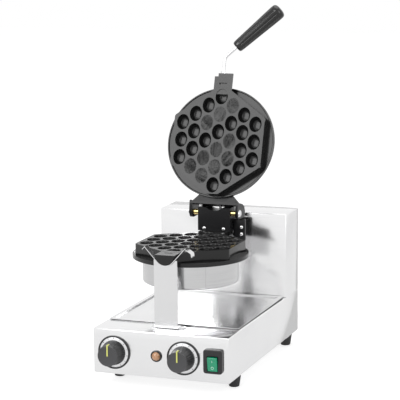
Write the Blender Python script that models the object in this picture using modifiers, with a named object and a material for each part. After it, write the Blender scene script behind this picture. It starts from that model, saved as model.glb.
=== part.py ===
# Rotating bubble waffle maker: a stainless base with a rear tower, a rotor that
# turns in the tower and in a front cradle, and two cast moulds hinged at the rear.
# Metres, +Z up. Front is -Y, the control side, and +X is the object's right.
# Origin: middle of the whole footprint, at the bottom of the feet.
# Each moving group hangs from an empty on its joint axis.
import bpy
import bmesh
from math import acos, atan2, cos, degrees, pi, radians, sin, sqrt
from mathutils import Matrix, Vector

# Clearances
fit_gap = 0.0003
turn_gap = 0.0004
slide_gap = 0.0008
weld_reach = 0.00001

# Base box and tower
base_width = 0.250
front_shelf = 0.029
base_height = 0.080
sheet = 0.0015
sheet_corner = 0.002
tower_depth = 0.0775
tower_height = 0.158
tower_cable_hole = 0.020
bottom_plate_inset = 0.004
bottom_plate_rise = 0.003

# Feet
foot_height = 0.024
foot_top_radius = 0.0125
foot_bottom_radius = 0.009
foot_side_inset = 0.017
foot_front_inset = 0.075
foot_rear_inset = 0.026
foot_edge = 0.0015

# Drip tray, a shallow pan that drops into the top of the base
tray_side_inset = 0.004
tray_post_gap = 0.0105
tray_tower_gap = 0.0015
tray_seam = 0.0016
tray_lip_proud = 0.0027
tray_overhang = 0.0045
tray_lip_width = 0.008
tray_lip_height = 0.0060
tray_pan_drop = 0.0022
tray_sheet = 0.0010
tray_ledge_width = 0.010

# Rotor axis and moulds
axis_height = 0.131
hub_bearing_gap = 0.0094
parting_gap = 0.0003
hex_height = 0.0202
hex_half_width = 0.0885
hex_side_half = 0.0459
hex_tip_reach = 0.100
flange_radius = 0.104
flange_thickness = 0.0055
flange_lip_width = 0.003
flange_lip_height = 0.0018
cell_rows_pitch = 0.0333
cell_columns_pitch = 0.0237
cell_half_length = 0.0145
cell_half_width = 0.0119
cell_depth = 0.0135
cell_flare = 0.001
tab_radius = 0.018
tab_beyond_flange = 0.024
tab_root = 0.088
tab_drop = 0.0001
tab_slot_width = 0.015
tab_slot_length = 0.0035
tab_slot_depth = 0.003
tab_slot_gap = 0.0025
tab_notch_width = 0.0070
tab_notch_length = 0.006
upper_tab_drop = 0.0015
drum_radius = 0.0863
drum_wall = 0.001
drum_depth = 0.0435
drum_corner = 0.004
drum_bolt_radius = 0.003
drum_bolt_head_radius = 0.0075
drum_bolt_head_height = 0.0035
heater_ring_radius = 0.060
heater_tube_radius = 0.004

# Rear lugs, hinge bracket and pin
lug_half_width = 0.028
lower_lug_drop = 0.003
lug_root = 0.090
hinge_back = 0.130
hinge_rise = 0.031
hinge_open_degrees = 108.8
bracket_half_width = 0.0315
bracket_front = 0.1225
bracket_depth = 0.0285
bracket_top = 0.041
bracket_dip_half = 0.016
bracket_dip_depth = 0.0055
upstand_height = 0.0240
upstand_thickness = 0.0045
lug_screw_x = 0.0100
lug_screw_y = 0.1340
lug_screw_rise = 0.0070
pin_radius = 0.003
pin_head_radius = 0.0073
pin_head_thickness = 0.0030
pin_end_radius = 0.0050
bush_radius = 0.0052
cheek_inner = 0.0425
cheek_thickness = 0.005
cheek_size = 0.038
stop_bolt_radius = 0.0024
stop_bolt_rise = 0.027
stop_bolt_seat_drop = 0.003
stop_bolt_x = 0.006
yoke_bar_front = 0.1122
yoke_bar_rear = 0.1167
yoke_bar_bottom = 0.0165
yoke_plate_thickness = 0.006
yoke_plate_root = 0.0900
yoke_plate_root_half = 0.025
screw_head_radius = 0.0036
screw_head_height = 0.0024
screw_shank_radius = 0.0018
bracket_screw_x = 0.0189
bracket_screw_z = 0.0021
yoke_screw_x = 0.016
yoke_screw_back = 0.0985

# Cover of the heater leads, on the right of the hinge bracket
lead_cover_width = 0.0230
lead_cover_top = 0.0190
lead_cover_bottom = 0.0210
lead_cover_depth = 0.0080
lead_cover_setback = 0.0170
lead_screw_x = 0.0480
lead_screw_upper_z = 0.0045
lead_screw_lower_z = 0.0085

# Rotor shaft and its bearings
hub_radius = 0.028
hub_thickness = 0.004
shaft_radius = 0.010
shaft_end_reach = 0.208
bearing_radius = 0.024
bearing_thickness = 0.006
bearing_hub_radius = 0.0155
stand_front = 0.190
stand_depth = 0.012
stand_half_width = 0.020
stand_foot_half_width = 0.032
stand_foot_height = 0.005
stand_head = 0.018
collar_radius = 0.0150
collar_start = 0.1760
collar_length = 0.0080

# Post and cradle at the front
post_width = 0.043
post_thickness = 0.002
post_setback = 0.0045
post_bend_radius = 0.0045
post_foot_reach = 0.022
post_foot_half_width = 0.0295
post_top_drop = 0.0094
post_screw_x = 0.0252
post_screw_setback = 0.011
cradle_strip = 0.0012
cradle_depth = 0.014
cradle_start = 0.0006
cradle_peak_x = 0.037
cradle_peak_z = 0.0125
cradle_left_hook_x = 0.0045
cradle_left_hook_z = 0.0048
cradle_right_hook_x = 0.0112
cradle_right_hook_z = 0.0075
cradle_right_end_drop = 0.0065

# Handle
rod_radius = 0.003
rod_x = 0.0045
rod_rise = 0.0085
rod_socket = 0.012
rod_straight = 0.025
rod_bend_radius = 0.016
rod_slant_degrees = 46.5
rod_free_length = 0.0220
rod_in_grip = 0.030
rod_nut_radius = 0.0055
rod_nut_length = 0.0045
grip_length = 0.109
grip_near_radius = 0.0112
grip_far_radius = 0.0148
grip_flute_depth = 0.0009
grip_end_round = 0.004

# Control panel
knob_height = 0.0394
dial_thickness = 0.0025
dial_rim_width = 0.0028
dial_rim_height = 0.0010
knob_length = 0.028
knob_start = 0.0035
knob_rib_depth = 0.0006
knob_edge = 0.0012
knob_dish = 0.0008
pointer_width = 0.0024
pointer_proud = 0.0007
pointer_side_length = 0.0085
spindle_radius = 0.003
spindle_hole_radius = 0.0048
spindle_in_knob = 0.014
spindle_inside = 0.012
control_body_side = 0.034
control_body_depth = 0.026
lamp_height = 0.0388
lamp_radius = 0.0102
lamp_bezel_thickness = 0.0030
lamp_lens_radius = 0.0076
lamp_dome_height = 0.0050
lamp_barrel_radius = 0.0062
lamp_barrel_length = 0.016
switch_height = 0.0392
switch_tall = 0.042
switch_bezel_thickness = 0.0085
switch_corner = 0.0048
switch_window_tall = 0.0270
switch_window_drop = 0.0035
switch_body_tall = 0.032
switch_body_depth = 0.022
rocker_proud = 0.0022
rocker_tilt_degrees = 9.0
rocker_swing_degrees = 18.0
rocker_thickness = 0.0060
rocker_clearance = 0.0012

# Rear inlet for a lead, and the connection block inside
gland_x = 0.060
gland_height = 0.040
gland_radius = 0.0085
gland_flange_radius = 0.0115
gland_flange_thickness = 0.0030
gland_nose_length = 0.0070
gland_bore_radius = 0.0042
gland_inside = 0.012
terminal_width = 0.050
terminal_depth = 0.022
terminal_height = 0.018
terminal_back = 0.100

# Shares of the panel's width
timer_share = 0.342
thermostat_share = 0.1704
lamp_share = 0.028
switch_share = 0.3928
dial_radius_share = 0.119
knob_base_share = 0.766
knob_face_share = 0.622
switch_width_share = 0.136
switch_window_share = 0.59
switch_body_share = 0.765

# Derived places
tab_reach = flange_radius + tab_beyond_flange
tab_slot_reach = flange_radius + tab_slot_gap
timer_x = base_width * timer_share
thermostat_x = base_width * thermostat_share
lamp_x = base_width * lamp_share
switch_x = base_width * switch_share
dial_radius = base_width * dial_radius_share
knob_base_radius = dial_radius * knob_base_share
knob_face_radius = dial_radius * knob_face_share
switch_width = base_width * switch_width_share
switch_window_width = switch_width * switch_window_share
switch_body_width = switch_width * switch_body_share
bracket_rear = bracket_front + bracket_depth
mould_to_tower = bracket_rear + hub_thickness + hub_bearing_gap + bearing_thickness + 2 * fit_gap
base_depth = front_shelf + tab_reach - post_setback + mould_to_tower + tower_depth
front_reach = knob_start + knob_length + pointer_proud
rear_reach = fit_gap + gland_flange_thickness + gland_nose_length
front_y = -(front_reach + base_depth + rear_reach) / 2 + front_reach
rear_y = front_y + base_depth
half_width = base_width / 2
base_bottom_z = foot_height
base_top_z = base_bottom_z + base_height
tower_front_y = rear_y - tower_depth
tower_top_z = base_top_z + tower_height
axis_z = base_top_z + axis_height
mould_y = tower_front_y - mould_to_tower
casting_bottom = hex_height + flange_thickness
drum_end = casting_bottom + fit_gap + drum_depth
half_gap = parting_gap / 2

# Counts and shares
cell_columns = (3, 4, 5, 6, 5, 4, 3)
cell_steps = 10
cell_mouth_share = 1.08
cell_wall_shares = ((0.96, 0.14), (0.9, 0.6), (0.62, 1.0))
round_steps = 28
flange_steps = 44
shaft_steps = 18
small_steps = 12
screw_steps = 8
knob_ribs = 16
grip_flutes = 10
cheek_outline_shares = (
    (-0.47, -0.36), (-0.50, -0.13), (-0.54, 0.30), (-0.48, 0.62), (-0.29, 0.80), (-0.08, 0.85),
    (0.0, 0.83), (0.13, 0.46), (0.26, 0.09), (0.275, -0.05), (0.21, -0.18), (0.08, -0.26),
    (-0.13, -0.33), (-0.51, -0.38),
)

# Clear the scene and make the two collections
for old in list(bpy.data.objects):
    bpy.data.objects.remove(old, do_unlink=True)
parts_collection = bpy.data.collections.new("bubble_waffle_maker")
cutters_collection = bpy.data.collections.new("cutters")
bpy.context.scene.collection.children.link(parts_collection)
bpy.context.scene.collection.children.link(cutters_collection)
cutters_collection.hide_render = True

# Materials: colour, roughness, metallic
material_values = {
    "brushed_steel": ((0.78, 0.78, 0.77), 0.32, 1.0),
    "polished_steel": ((0.85, 0.85, 0.85), 0.12, 1.0),
    "black_casting": ((0.055, 0.055, 0.055), 0.38, 0.6),
    "black_steel": ((0.03, 0.03, 0.032), 0.42, 0.3),
    "brass": ((0.75, 0.58, 0.27), 0.25, 1.0),
    "bakelite": ((0.012, 0.012, 0.012), 0.22, 0.0),
    "rubber": ((0.02, 0.02, 0.02), 0.7, 0.0),
    "knob_plastic": ((0.03, 0.03, 0.032), 0.4, 0.0),
    "pointer_plastic": ((0.72, 0.78, 0.30), 0.4, 0.0),
    "amber_plastic": ((0.62, 0.28, 0.08), 0.2, 0.0),
    "green_plastic": ((0.0, 0.42, 0.20), 0.25, 0.0),
    "cream_plastic": ((0.75, 0.72, 0.64), 0.5, 0.0),
    "dark_metal": ((0.25, 0.25, 0.25), 0.4, 1.0),
}
materials = {}
for label, (colour, roughness, metallic) in material_values.items():
    material = bpy.data.materials.new(label)
    material.use_nodes = True
    shader = material.node_tree.nodes["Principled BSDF"]
    shader.inputs["Base Color"].default_value = (*colour, 1.0)
    shader.inputs["Roughness"].default_value = roughness
    shader.inputs["Metallic"].default_value = metallic
    material.diffuse_color = (*colour, 1.0)
    materials[label] = material


def frame(name, place, turn=None, parent=None):
    # An empty on a joint axis
    empty = bpy.data.objects.new(name, None)
    parts_collection.objects.link(empty)
    empty.parent = parent
    empty.location = place
    if turn:
        empty.rotation_euler = turn
    return empty


def finish(name, mesh, parent=None, material=None):
    # Link a mesh as a named piece in its frame
    mesh.name = name
    mesh.materials.clear()
    piece = bpy.data.objects.new(name, mesh)
    piece.parent = parent
    if material:
        mesh.materials.append(materials[material])
        parts_collection.objects.link(piece)
        mesh.shade_smooth()
        mesh.set_sharp_from_angle(angle=radians(35))
    else:
        cutters_collection.objects.link(piece)
        piece.hide_render = True
        piece.display_type = "WIRE"
    return piece


def drawn_mesh(data, modifiers=()):
    # The mesh of a helper object after its modifiers, welded; the helper is removed
    helper = bpy.data.objects.new("helper", data)
    cutters_collection.objects.link(helper)
    for kind, settings in modifiers:
        step = helper.modifiers.new(kind, kind)
        for setting, value in settings.items():
            setattr(step, setting, value)
    bpy.context.view_layer.update()
    graph = bpy.context.evaluated_depsgraph_get()
    mesh = bpy.data.meshes.new_from_object(helper.evaluated_get(graph))
    bpy.data.objects.remove(helper, do_unlink=True)
    bm = bmesh.new()
    bm.from_mesh(mesh)
    bmesh.ops.remove_doubles(bm, verts=bm.verts, dist=weld_reach)
    bmesh.ops.recalc_face_normals(bm, faces=bm.faces)
    if bm.calc_volume(signed=True) < 0:
        bmesh.ops.reverse_faces(bm, faces=bm.faces)
    bm.to_mesh(mesh)
    bm.free()
    return mesh


def moved_mesh(mesh, shift=(0.0, 0.0, 0.0), matrix=None):
    turn = matrix or Matrix()
    mesh.transform(Matrix.Translation(shift) @ turn)
    if turn.determinant() < 0:
        mesh.flip_normals()
    return mesh


def box_mesh(x, y, z, edge=0.0, steps=2, along=None):
    # A block between the limits x, y and z; its edges are rounded, or only those along one axis
    bm = bmesh.new()
    size = Vector((x[1] - x[0], y[1] - y[0], z[1] - z[0]))
    middle = Vector((x[0] + x[1], y[0] + y[1], z[0] + z[1])) / 2
    bmesh.ops.create_cube(bm, size=1.0, matrix=Matrix.Translation(middle) @ Matrix.Diagonal((*size, 1.0)))
    weights = bm.edges.layers.float.new("bevel_weight_edge")
    for side in bm.edges:
        line = (side.verts[1].co - side.verts[0].co).normalized()
        side[weights] = 1.0 if along is None or abs(line["XYZ".index(along)]) > cos(radians(5)) else 0.0
    mesh = bpy.data.meshes.new("box")
    bm.to_mesh(mesh)
    bm.free()
    if not edge:
        return mesh
    rounding = {"width": edge, "segments": steps, "limit_method": "WEIGHT", "use_clamp_overlap": False}
    return drawn_mesh(mesh, (("BEVEL", rounding),))


def turned_mesh(profile, steps=round_steps, axis="Z"):
    # A closed profile of (radius, height) points turned about an axis through the frame's origin
    bm = bmesh.new()
    corners = [bm.verts.new((radius, 0.0, height)) for radius, height in profile]
    for first, second in zip(corners, corners[1:] + corners[:1]):
        if first.co.x or second.co.x:
            bm.edges.new((first, second))
    line = bpy.data.meshes.new("profile")
    bm.to_mesh(line)
    bm.free()
    screw = {
        "axis": "Z", "angle": 2 * pi, "steps": steps, "render_steps": steps, "use_merge_vertices": True,
        "merge_threshold": weld_reach, "use_smooth_shade": True,
    }
    mesh = drawn_mesh(line, (("SCREW", screw),))
    turn = {"Z": Matrix(), "X": Matrix.Rotation(pi / 2, 4, "Y"), "Y": Matrix.Rotation(-pi / 2, 4, "X")}
    return moved_mesh(mesh, matrix=turn[axis])


def loft_mesh(sections, steps):
    # A fluted form along +Y, capped at both ends; each section is (place, radius, flute depth)
    bm = bmesh.new()
    rings = []
    for place, radius, depth in sections:
        ring = []
        for step in range(steps):
            angle = 2 * pi * step / steps
            reach = radius - (depth if step % 2 else 0.0)
            ring.append(bm.verts.new((reach * sin(angle), place, reach * cos(angle))))
        rings.append(ring)
    for first, second in zip(rings, rings[1:]):
        for step in range(steps):
            after = (step + 1) % steps
            bm.faces.new((first[step], first[after], second[after], second[step]))
    bm.faces.new(rings[0])
    bm.faces.new(rings[-1])
    bmesh.ops.recalc_face_normals(bm, faces=bm.faces)
    mesh = bpy.data.meshes.new("loft")
    bm.to_mesh(mesh)
    bm.free()
    return mesh


def prism_mesh(outline, axis, start, end):
    # An outline in the two other axes, as a flat filled curve, thickened along the named axis
    curve = bpy.data.curves.new("outline", "CURVE")
    curve.dimensions = "2D"
    curve.fill_mode = "BOTH"
    curve.extrude = abs(end - start) / 2
    line = curve.splines.new("POLY")
    line.points.add(len(outline) - 1)
    for point, (a, b) in zip(line.points, outline):
        point.co = (a, b, 0.0, 1.0)
    line.use_cyclic_u = True
    mesh = drawn_mesh(curve)
    middle = (start + end) / 2
    onto = {
        "X": Matrix(((0, 0, 1, middle), (1, 0, 0, 0), (0, 1, 0, 0), (0, 0, 0, 1))),
        "Y": Matrix(((1, 0, 0, 0), (0, 0, 1, middle), (0, 1, 0, 0), (0, 0, 0, 1))),
        "Z": Matrix.Translation((0.0, 0.0, middle)),
    }
    return moved_mesh(mesh, matrix=onto[axis])


def combine(target, tool_mesh, operation="DIFFERENCE"):
    # One Boolean step, made permanent, with its tool kept hidden among the cutters
    tool = finish(target.name + "_tool", tool_mesh, target.parent)
    step = target.modifiers.new("step", "BOOLEAN")
    step.operation = operation
    step.solver = "EXACT"
    step.object = tool
    bpy.context.view_layer.update()
    graph = bpy.context.evaluated_depsgraph_get()
    result = bpy.data.meshes.new_from_object(target.evaluated_get(graph))
    target.modifiers.remove(step)
    old = target.data
    target.data = result
    bpy.data.meshes.remove(old)
    result.name = target.name
    result.shade_smooth()
    result.set_sharp_from_angle(angle=radians(35))
    return target


def round_tool(radius, start, end, axis, place, steps=small_steps):
    # A plain cylinder along an axis, from start to end of that axis, through place
    bm = bmesh.new()
    bmesh.ops.create_cone(
        bm, cap_ends=True, segments=steps, radius1=radius, radius2=radius, depth=end - start,
        matrix=Matrix.Translation((0.0, 0.0, (start + end) / 2)))
    mesh = bpy.data.meshes.new("round")
    bm.to_mesh(mesh)
    bm.free()
    turn = {"Z": Matrix(), "X": Matrix.Rotation(pi / 2, 4, "Y"), "Y": Matrix.Rotation(-pi / 2, 4, "X")}
    return moved_mesh(mesh, place, turn[axis])


def screw_mesh(length, head_radius=screw_head_radius, head_height=screw_head_height,
               shank_radius=screw_shank_radius):
    # A pan-head screw along Z, its head on the +Z side of the origin plane
    crown = head_radius * 0.6
    profile = (
        (0.0, head_height), (crown, head_height * 0.92), (head_radius, head_height * 0.45),
        (head_radius, 0.0), (shank_radius, 0.0), (shank_radius, -length), (0.0, -length),
    )
    return turned_mesh(profile, screw_steps)


# Frames of the moving groups
rotor_frame = frame("rotor_axis", (0.0, mould_y, axis_z))
lid_frame = frame("lid_axis", (0.0, hinge_back, hinge_rise), (-radians(hinge_open_degrees), 0.0, 0.0), rotor_frame)
to_lid = Matrix.Translation((0.0, -hinge_back, -hinge_rise))
mirror_up = Matrix.Diagonal((1.0, 1.0, -1.0, 1.0))

# Base shell: bent sheet, open underneath
base_shell = finish("base_shell", box_mesh(
    (-half_width, half_width), (front_y, rear_y), (base_bottom_z, base_top_z), sheet_corner),
    None, "brushed_steel")
combine(base_shell, box_mesh(
    (-half_width + sheet, half_width - sheet), (front_y + sheet, rear_y - sheet),
    (base_bottom_z - sheet, base_top_z - sheet)))
post_front = mould_y - tab_reach + post_setback
tray_half = half_width - tray_side_inset
tray_front = post_front + post_foot_reach + tray_post_gap
tray_rear = tower_front_y - tray_tower_gap
recess_half = tray_half - tray_overhang + tray_seam
recess_front = tray_front + tray_overhang - tray_seam
recess_rear = tray_rear - tray_overhang + tray_seam
ledge_top = base_top_z + tray_lip_proud - tray_lip_height - fit_gap
combine(base_shell, box_mesh(
    (-recess_half - sheet, recess_half + sheet), (recess_front - sheet, tower_front_y + sheet),
    (ledge_top - sheet, base_top_z - sheet * 0.5)), "UNION")
combine(base_shell, box_mesh(
    (-recess_half, recess_half), (recess_front, recess_rear), (ledge_top, base_top_z + sheet)))
hole_half = tray_half - tray_ledge_width
combine(base_shell, box_mesh(
    (-hole_half, hole_half), (tray_front + tray_ledge_width, tray_rear - tray_ledge_width),
    (ledge_top - sheet * 2, ledge_top + sheet)))
combine(base_shell, box_mesh(
    (-tower_cable_hole, tower_cable_hole), (rear_y - tower_cable_hole * 1.4, rear_y - tower_cable_hole * 0.4),
    (base_top_z - sheet * 2, base_top_z + sheet)))
for x in (-timer_x, thermostat_x):
    combine(base_shell, round_tool(
        spindle_hole_radius, front_y - sheet, front_y + sheet * 2, "Y",
        (x, 0.0, base_bottom_z + knob_height)))
combine(base_shell, round_tool(
    lamp_barrel_radius + fit_gap, front_y - sheet, front_y + sheet * 2, "Y",
    (-lamp_x, 0.0, base_bottom_z + lamp_height)))
switch_z = base_bottom_z + switch_height
combine(base_shell, box_mesh(
    (switch_x - switch_body_width / 2 - fit_gap, switch_x + switch_body_width / 2 + fit_gap),
    (front_y - sheet, front_y + sheet * 2),
    (switch_z - switch_body_tall / 2 - fit_gap, switch_z + switch_body_tall / 2 + fit_gap)))
combine(base_shell, round_tool(
    gland_radius + fit_gap, rear_y - sheet * 2, rear_y + sheet, "Y",
    (gland_x, 0.0, base_bottom_z + gland_height)))

# Bottom plate, held inside the shell, with an air slot pattern
plate_half = half_width - sheet - fit_gap
base_bottom_plate = finish("base_bottom_plate", box_mesh(
    (-plate_half, plate_half), (front_y + sheet + fit_gap, rear_y - sheet - fit_gap),
    (base_bottom_z, base_bottom_z + sheet)), None, "brushed_steel")
slot_length = half_width / 2
for row in range(6):
    slot_y = mould_y + (row - 2.5) * tower_cable_hole * 0.6
    combine(base_bottom_plate, box_mesh(
        (-slot_length, slot_length), (slot_y - sheet, slot_y + sheet),
        (base_bottom_z - sheet, base_bottom_z + sheet * 2)))

# Tower cover: front, sides and top in bent sheet, open below and behind
tower_bottom = base_top_z + fit_gap
tower_cover = finish("tower_cover", box_mesh(
    (-half_width, half_width), (tower_front_y, rear_y), (tower_bottom - base_height / 2, tower_top_z),
    sheet_corner), None, "brushed_steel")
combine(tower_cover, box_mesh(
    (-half_width + sheet, half_width - sheet), (tower_front_y + sheet, rear_y + sheet),
    (tower_bottom - base_height, tower_top_z - sheet)))
combine(tower_cover, box_mesh(
    (-half_width - sheet, half_width + sheet), (tower_front_y - sheet, rear_y + sheet * 2),
    (tower_bottom - base_height, tower_bottom)))
combine(tower_cover, round_tool(
    shaft_radius + slide_gap, tower_front_y - sheet, tower_front_y + sheet * 2, "Y", (0.0, 0.0, axis_z), shaft_steps))

# Back panel of the tower, set between the side walls
tower_back_panel = finish("tower_back_panel", box_mesh(
    (-plate_half, plate_half), (rear_y - sheet * 2, rear_y - sheet),
    (tower_bottom, tower_top_z - sheet - fit_gap)), None, "brushed_steel")
for row in range(5):
    slot_z = axis_z + (row - 2) * tower_cable_hole * 0.5
    combine(tower_back_panel, box_mesh(
        (-tower_cable_hole * 2, tower_cable_hole * 2), (rear_y - sheet * 3, rear_y),
        (slot_z - sheet, slot_z + sheet)))

# Four rubber feet
foot_x = half_width - foot_side_inset
foot_places = {
    "foot_front_left": (-foot_x, front_y + foot_front_inset),
    "foot_front_right": (foot_x, front_y + foot_front_inset),
    "foot_rear_left": (-foot_x, rear_y - foot_rear_inset),
    "foot_rear_right": (foot_x, rear_y - foot_rear_inset),
}
foot_top = base_bottom_z - fit_gap
foot_profile = (
    (0.0, foot_top), (foot_top_radius, foot_top), (foot_top_radius, foot_top - foot_edge * 2),
    (foot_bottom_radius, foot_edge), (foot_bottom_radius - foot_edge, 0.0), (0.0, 0.0),
)
for name, (x, y) in foot_places.items():
    finish(name, moved_mesh(turned_mesh(foot_profile, small_steps), (x, y, 0.0)), None, "rubber")

# Drip tray: a shallow pan whose rim overhangs the base, and whose skirt stands in the recess
tray_middle = (tray_front + tray_rear) / 2
tray_frame = frame("drip_tray_slide", (0.0, tray_middle, base_top_z))
tray_top = base_top_z + tray_lip_proud
pan_half = tray_half - tray_lip_width
pan_front = tray_front + tray_lip_width
pan_rear = tray_rear - tray_lip_width


def tray_box(half_x, front, rear, bottom, top, edge=0.0):
    return box_mesh(
        (-half_x, half_x), (front - tray_middle, rear - tray_middle),
        (bottom - base_top_z, top - base_top_z), edge, 2, "Z")


drip_tray = finish("drip_tray", tray_box(
    tray_half, tray_front, tray_rear, tray_top - tray_sheet, tray_top, sheet_corner),
    tray_frame, "brushed_steel")
skirt_half = tray_half - tray_overhang
skirt_front = tray_front + tray_overhang
skirt_rear = tray_rear - tray_overhang
combine(drip_tray, tray_box(
    skirt_half, skirt_front, skirt_rear, tray_top - tray_lip_height, tray_top - tray_sheet * 0.5, sheet_corner),
    "UNION")
combine(drip_tray, tray_box(
    skirt_half - tray_sheet, skirt_front + tray_sheet, skirt_rear - tray_sheet,
    tray_top - tray_lip_height - tray_sheet, tray_top - tray_sheet, sheet_corner * 0.5))
combine(drip_tray, tray_box(
    pan_half + tray_sheet, pan_front - tray_sheet, pan_rear + tray_sheet,
    tray_top - tray_pan_drop - tray_sheet, tray_top - tray_sheet * 0.5), "UNION")
combine(drip_tray, tray_box(
    pan_half, pan_front, pan_rear, tray_top - tray_pan_drop, tray_top + tray_sheet, sheet_corner))

# Support post: a strip bent back at the foot, notched at the top for the cradle
cradle_mid_radius = tab_radius + turn_gap + cradle_strip / 2
post_back = post_front + post_thickness
post_top = axis_z - post_top_drop
foot_z = base_top_z + fit_gap
post_outline = [(post_front, post_top)]
bend_middle = Vector((post_front + post_bend_radius, foot_z + post_bend_radius))
for step in range(6):
    angle = pi + step / 5 * pi / 2
    point = bend_middle + post_bend_radius * Vector((cos(angle), sin(angle)))
    post_outline.append((point.x, point.y))
post_outline.append((post_front + post_foot_reach, foot_z))
post_outline.append((post_front + post_foot_reach, foot_z + post_thickness))
inner_bend = post_bend_radius - post_thickness
for step in range(6):
    angle = pi * 1.5 - step / 5 * pi / 2
    point = bend_middle + inner_bend * Vector((cos(angle), sin(angle)))
    post_outline.append((point.x, point.y))
post_outline.append((post_back, post_top))
support_post = finish("support_post", prism_mesh(
    post_outline, "X", -post_width / 2, post_width / 2), None, "brushed_steel")
combine(support_post, box_mesh(
    (-post_foot_half_width, post_foot_half_width),
    (post_front + post_bend_radius * 1.3, post_front + post_foot_reach * 0.97),
    (foot_z + weld_reach * 3, foot_z + post_thickness * 0.9)), "UNION")
for name, x in (("post_screw_left", -post_screw_x), ("post_screw_right", post_screw_x)):
    place = (x, post_front + post_screw_setback, foot_z + post_thickness + fit_gap)
    finish(name, moved_mesh(screw_mesh(post_thickness + sheet * 3), place), None, "polished_steel")
    for piece, reach in ((support_post, post_thickness * 3), (base_shell, post_thickness * 5)):
        combine(piece, round_tool(
            screw_shank_radius + fit_gap, place[2] - reach, place[2] + sheet, "Z", (*place[:2], 0.0), screw_steps))

# Cradle: one bent strip, round under the tab and folded out at both ends
peak = Vector((cradle_peak_x, cradle_peak_z))
touch = atan2(peak.y, peak.x) - acos(cradle_mid_radius / peak.length)
strip_line = []
arc_steps = 12
for step in range(arc_steps + 1):
    angle = (-pi - touch) + (2 * touch + pi) * step / arc_steps
    strip_line.append((cradle_mid_radius * cos(angle), cradle_mid_radius * sin(angle)))
left_end = Vector((-peak.x - cradle_left_hook_x, peak.y - cradle_left_hook_z))
right_end = Vector((peak.x + cradle_right_hook_x, peak.y - cradle_right_hook_z))
strip_line = [tuple(left_end), (-peak.x, peak.y)] + strip_line + [(peak.x, peak.y), tuple(right_end)]
strip_line.append((right_end.x + cradle_strip, right_end.y - cradle_right_end_drop))


def strip_outline(line, thickness):
    # The two sides of a strip of even thickness along a bent line
    sides = ([], [])
    for index, point in enumerate(line):
        here = Vector(point)
        before = (here - Vector(line[index - 1])).normalized() if index else None
        after = (Vector(line[index + 1]) - here).normalized() if index + 1 < len(line) else None
        along = ((before or after) + (after or before)).normalized()
        normal = Vector((-along.y, along.x))
        stretch = 1.0 / max(0.6, normal.dot(Vector((-(after or before).y, (after or before).x))))
        for side, sign in zip(sides, (0.5, -0.5)):
            spot = here + normal * thickness * sign * stretch
            side.append((spot.x, spot.y))
    return sides[0] + sides[1][::-1]


cradle_front = post_front - cradle_start * 6
under_line = strip_line[1:-2]
under_side = strip_outline(under_line, cradle_strip + 2 * fit_gap)[len(under_line):]
combine(support_post, moved_mesh(prism_mesh(
    under_side, "Y", post_front - post_thickness, post_back + post_thickness), (0.0, 0.0, axis_z)))
cradle = finish("cradle", moved_mesh(prism_mesh(
    strip_outline(strip_line, cradle_strip), "Y", cradle_front, cradle_front + cradle_depth),
    (0.0, 0.0, axis_z)), None, "polished_steel")


def cells_mesh():
    # The cutter of all thirty bubbles: one turned oval bowl, copied in staggered columns
    profile = [(0.0, cell_flare), (cell_mouth_share, cell_flare)]
    profile += [(reach, -half_gap - cell_depth * depth) for reach, depth in cell_wall_shares]
    profile.append((0.0, -half_gap - cell_depth))
    bowl = moved_mesh(
        turned_mesh([(radius * cell_half_width, height) for radius, height in profile], cell_steps),
        matrix=Matrix.Diagonal((1.0, cell_half_length / cell_half_width, 1.0, 1.0)))
    bm = bmesh.new()
    for column, count in enumerate(cell_columns):
        x = (column - (len(cell_columns) - 1) / 2) * cell_columns_pitch
        for row in range(count):
            y = (row - (count - 1) / 2) * cell_rows_pitch
            bowl.transform(Matrix.Translation((x, y, 0.0)))
            bm.from_mesh(bowl)
            bowl.transform(Matrix.Translation((-x, -y, 0.0)))
    mesh = bpy.data.meshes.new("cells")
    bm.to_mesh(mesh)
    bm.free()
    return mesh


def half_round_outline(radius, drop, steps=14):
    # Lower half of a round boss, its flat side up
    start = -drop
    edge_angle = -drop / radius
    outline = []
    for step in range(steps + 1):
        angle = edge_angle - (pi + 2 * edge_angle) * step / steps
        outline.append((radius * cos(angle), max(radius * sin(angle), -radius) if step % steps else start))
    return outline


def mould(name, matrix, parent, face_drop, lug=None):
    # A casting: hexagonal plate with bubbles, round flange, half-round front tab and rear lug.
    # It is built under the parting plane, and the matrix turns it up for the lid.
    slant = (cell_rows_pitch / 2) / cell_columns_pitch
    tip = hex_side_half + hex_half_width * slant
    cut_half = (tip - hex_tip_reach) / slant
    corner = [
        (hex_half_width, -hex_side_half), (hex_half_width, hex_side_half), (cut_half, hex_tip_reach),
        (-cut_half, hex_tip_reach), (-hex_half_width, hex_side_half), (-hex_half_width, -hex_side_half),
        (-cut_half, -hex_tip_reach), (cut_half, -hex_tip_reach),
    ]

    def at(mesh):
        return moved_mesh(mesh, matrix=matrix)

    casting = finish(name, at(prism_mesh(
        corner, "Z", -half_gap, -hex_height - flange_thickness / 2)), parent, "black_casting")
    lip_inner = flange_radius - flange_lip_width
    combine(casting, at(turned_mesh((
        (0.0, -hex_height), (lip_inner, -hex_height), (lip_inner, -hex_height + flange_lip_height),
        (flange_radius, -hex_height + flange_lip_height), (flange_radius, -casting_bottom),
        (0.0, -casting_bottom)), flange_steps)), "UNION")
    combine(casting, at(prism_mesh(
        half_round_outline(tab_radius, half_gap + face_drop), "Y", -tab_reach, -tab_root)), "UNION")
    if lug:
        combine(casting, at(box_mesh(*lug)), "UNION")
    combine(casting, at(cells_mesh()))
    combine(casting, at(box_mesh(
        (-tab_slot_width / 2, tab_slot_width / 2), (-tab_slot_reach - tab_slot_length, -tab_slot_reach),
        (-face_drop - tab_slot_depth, tab_slot_depth))))
    return casting


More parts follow.
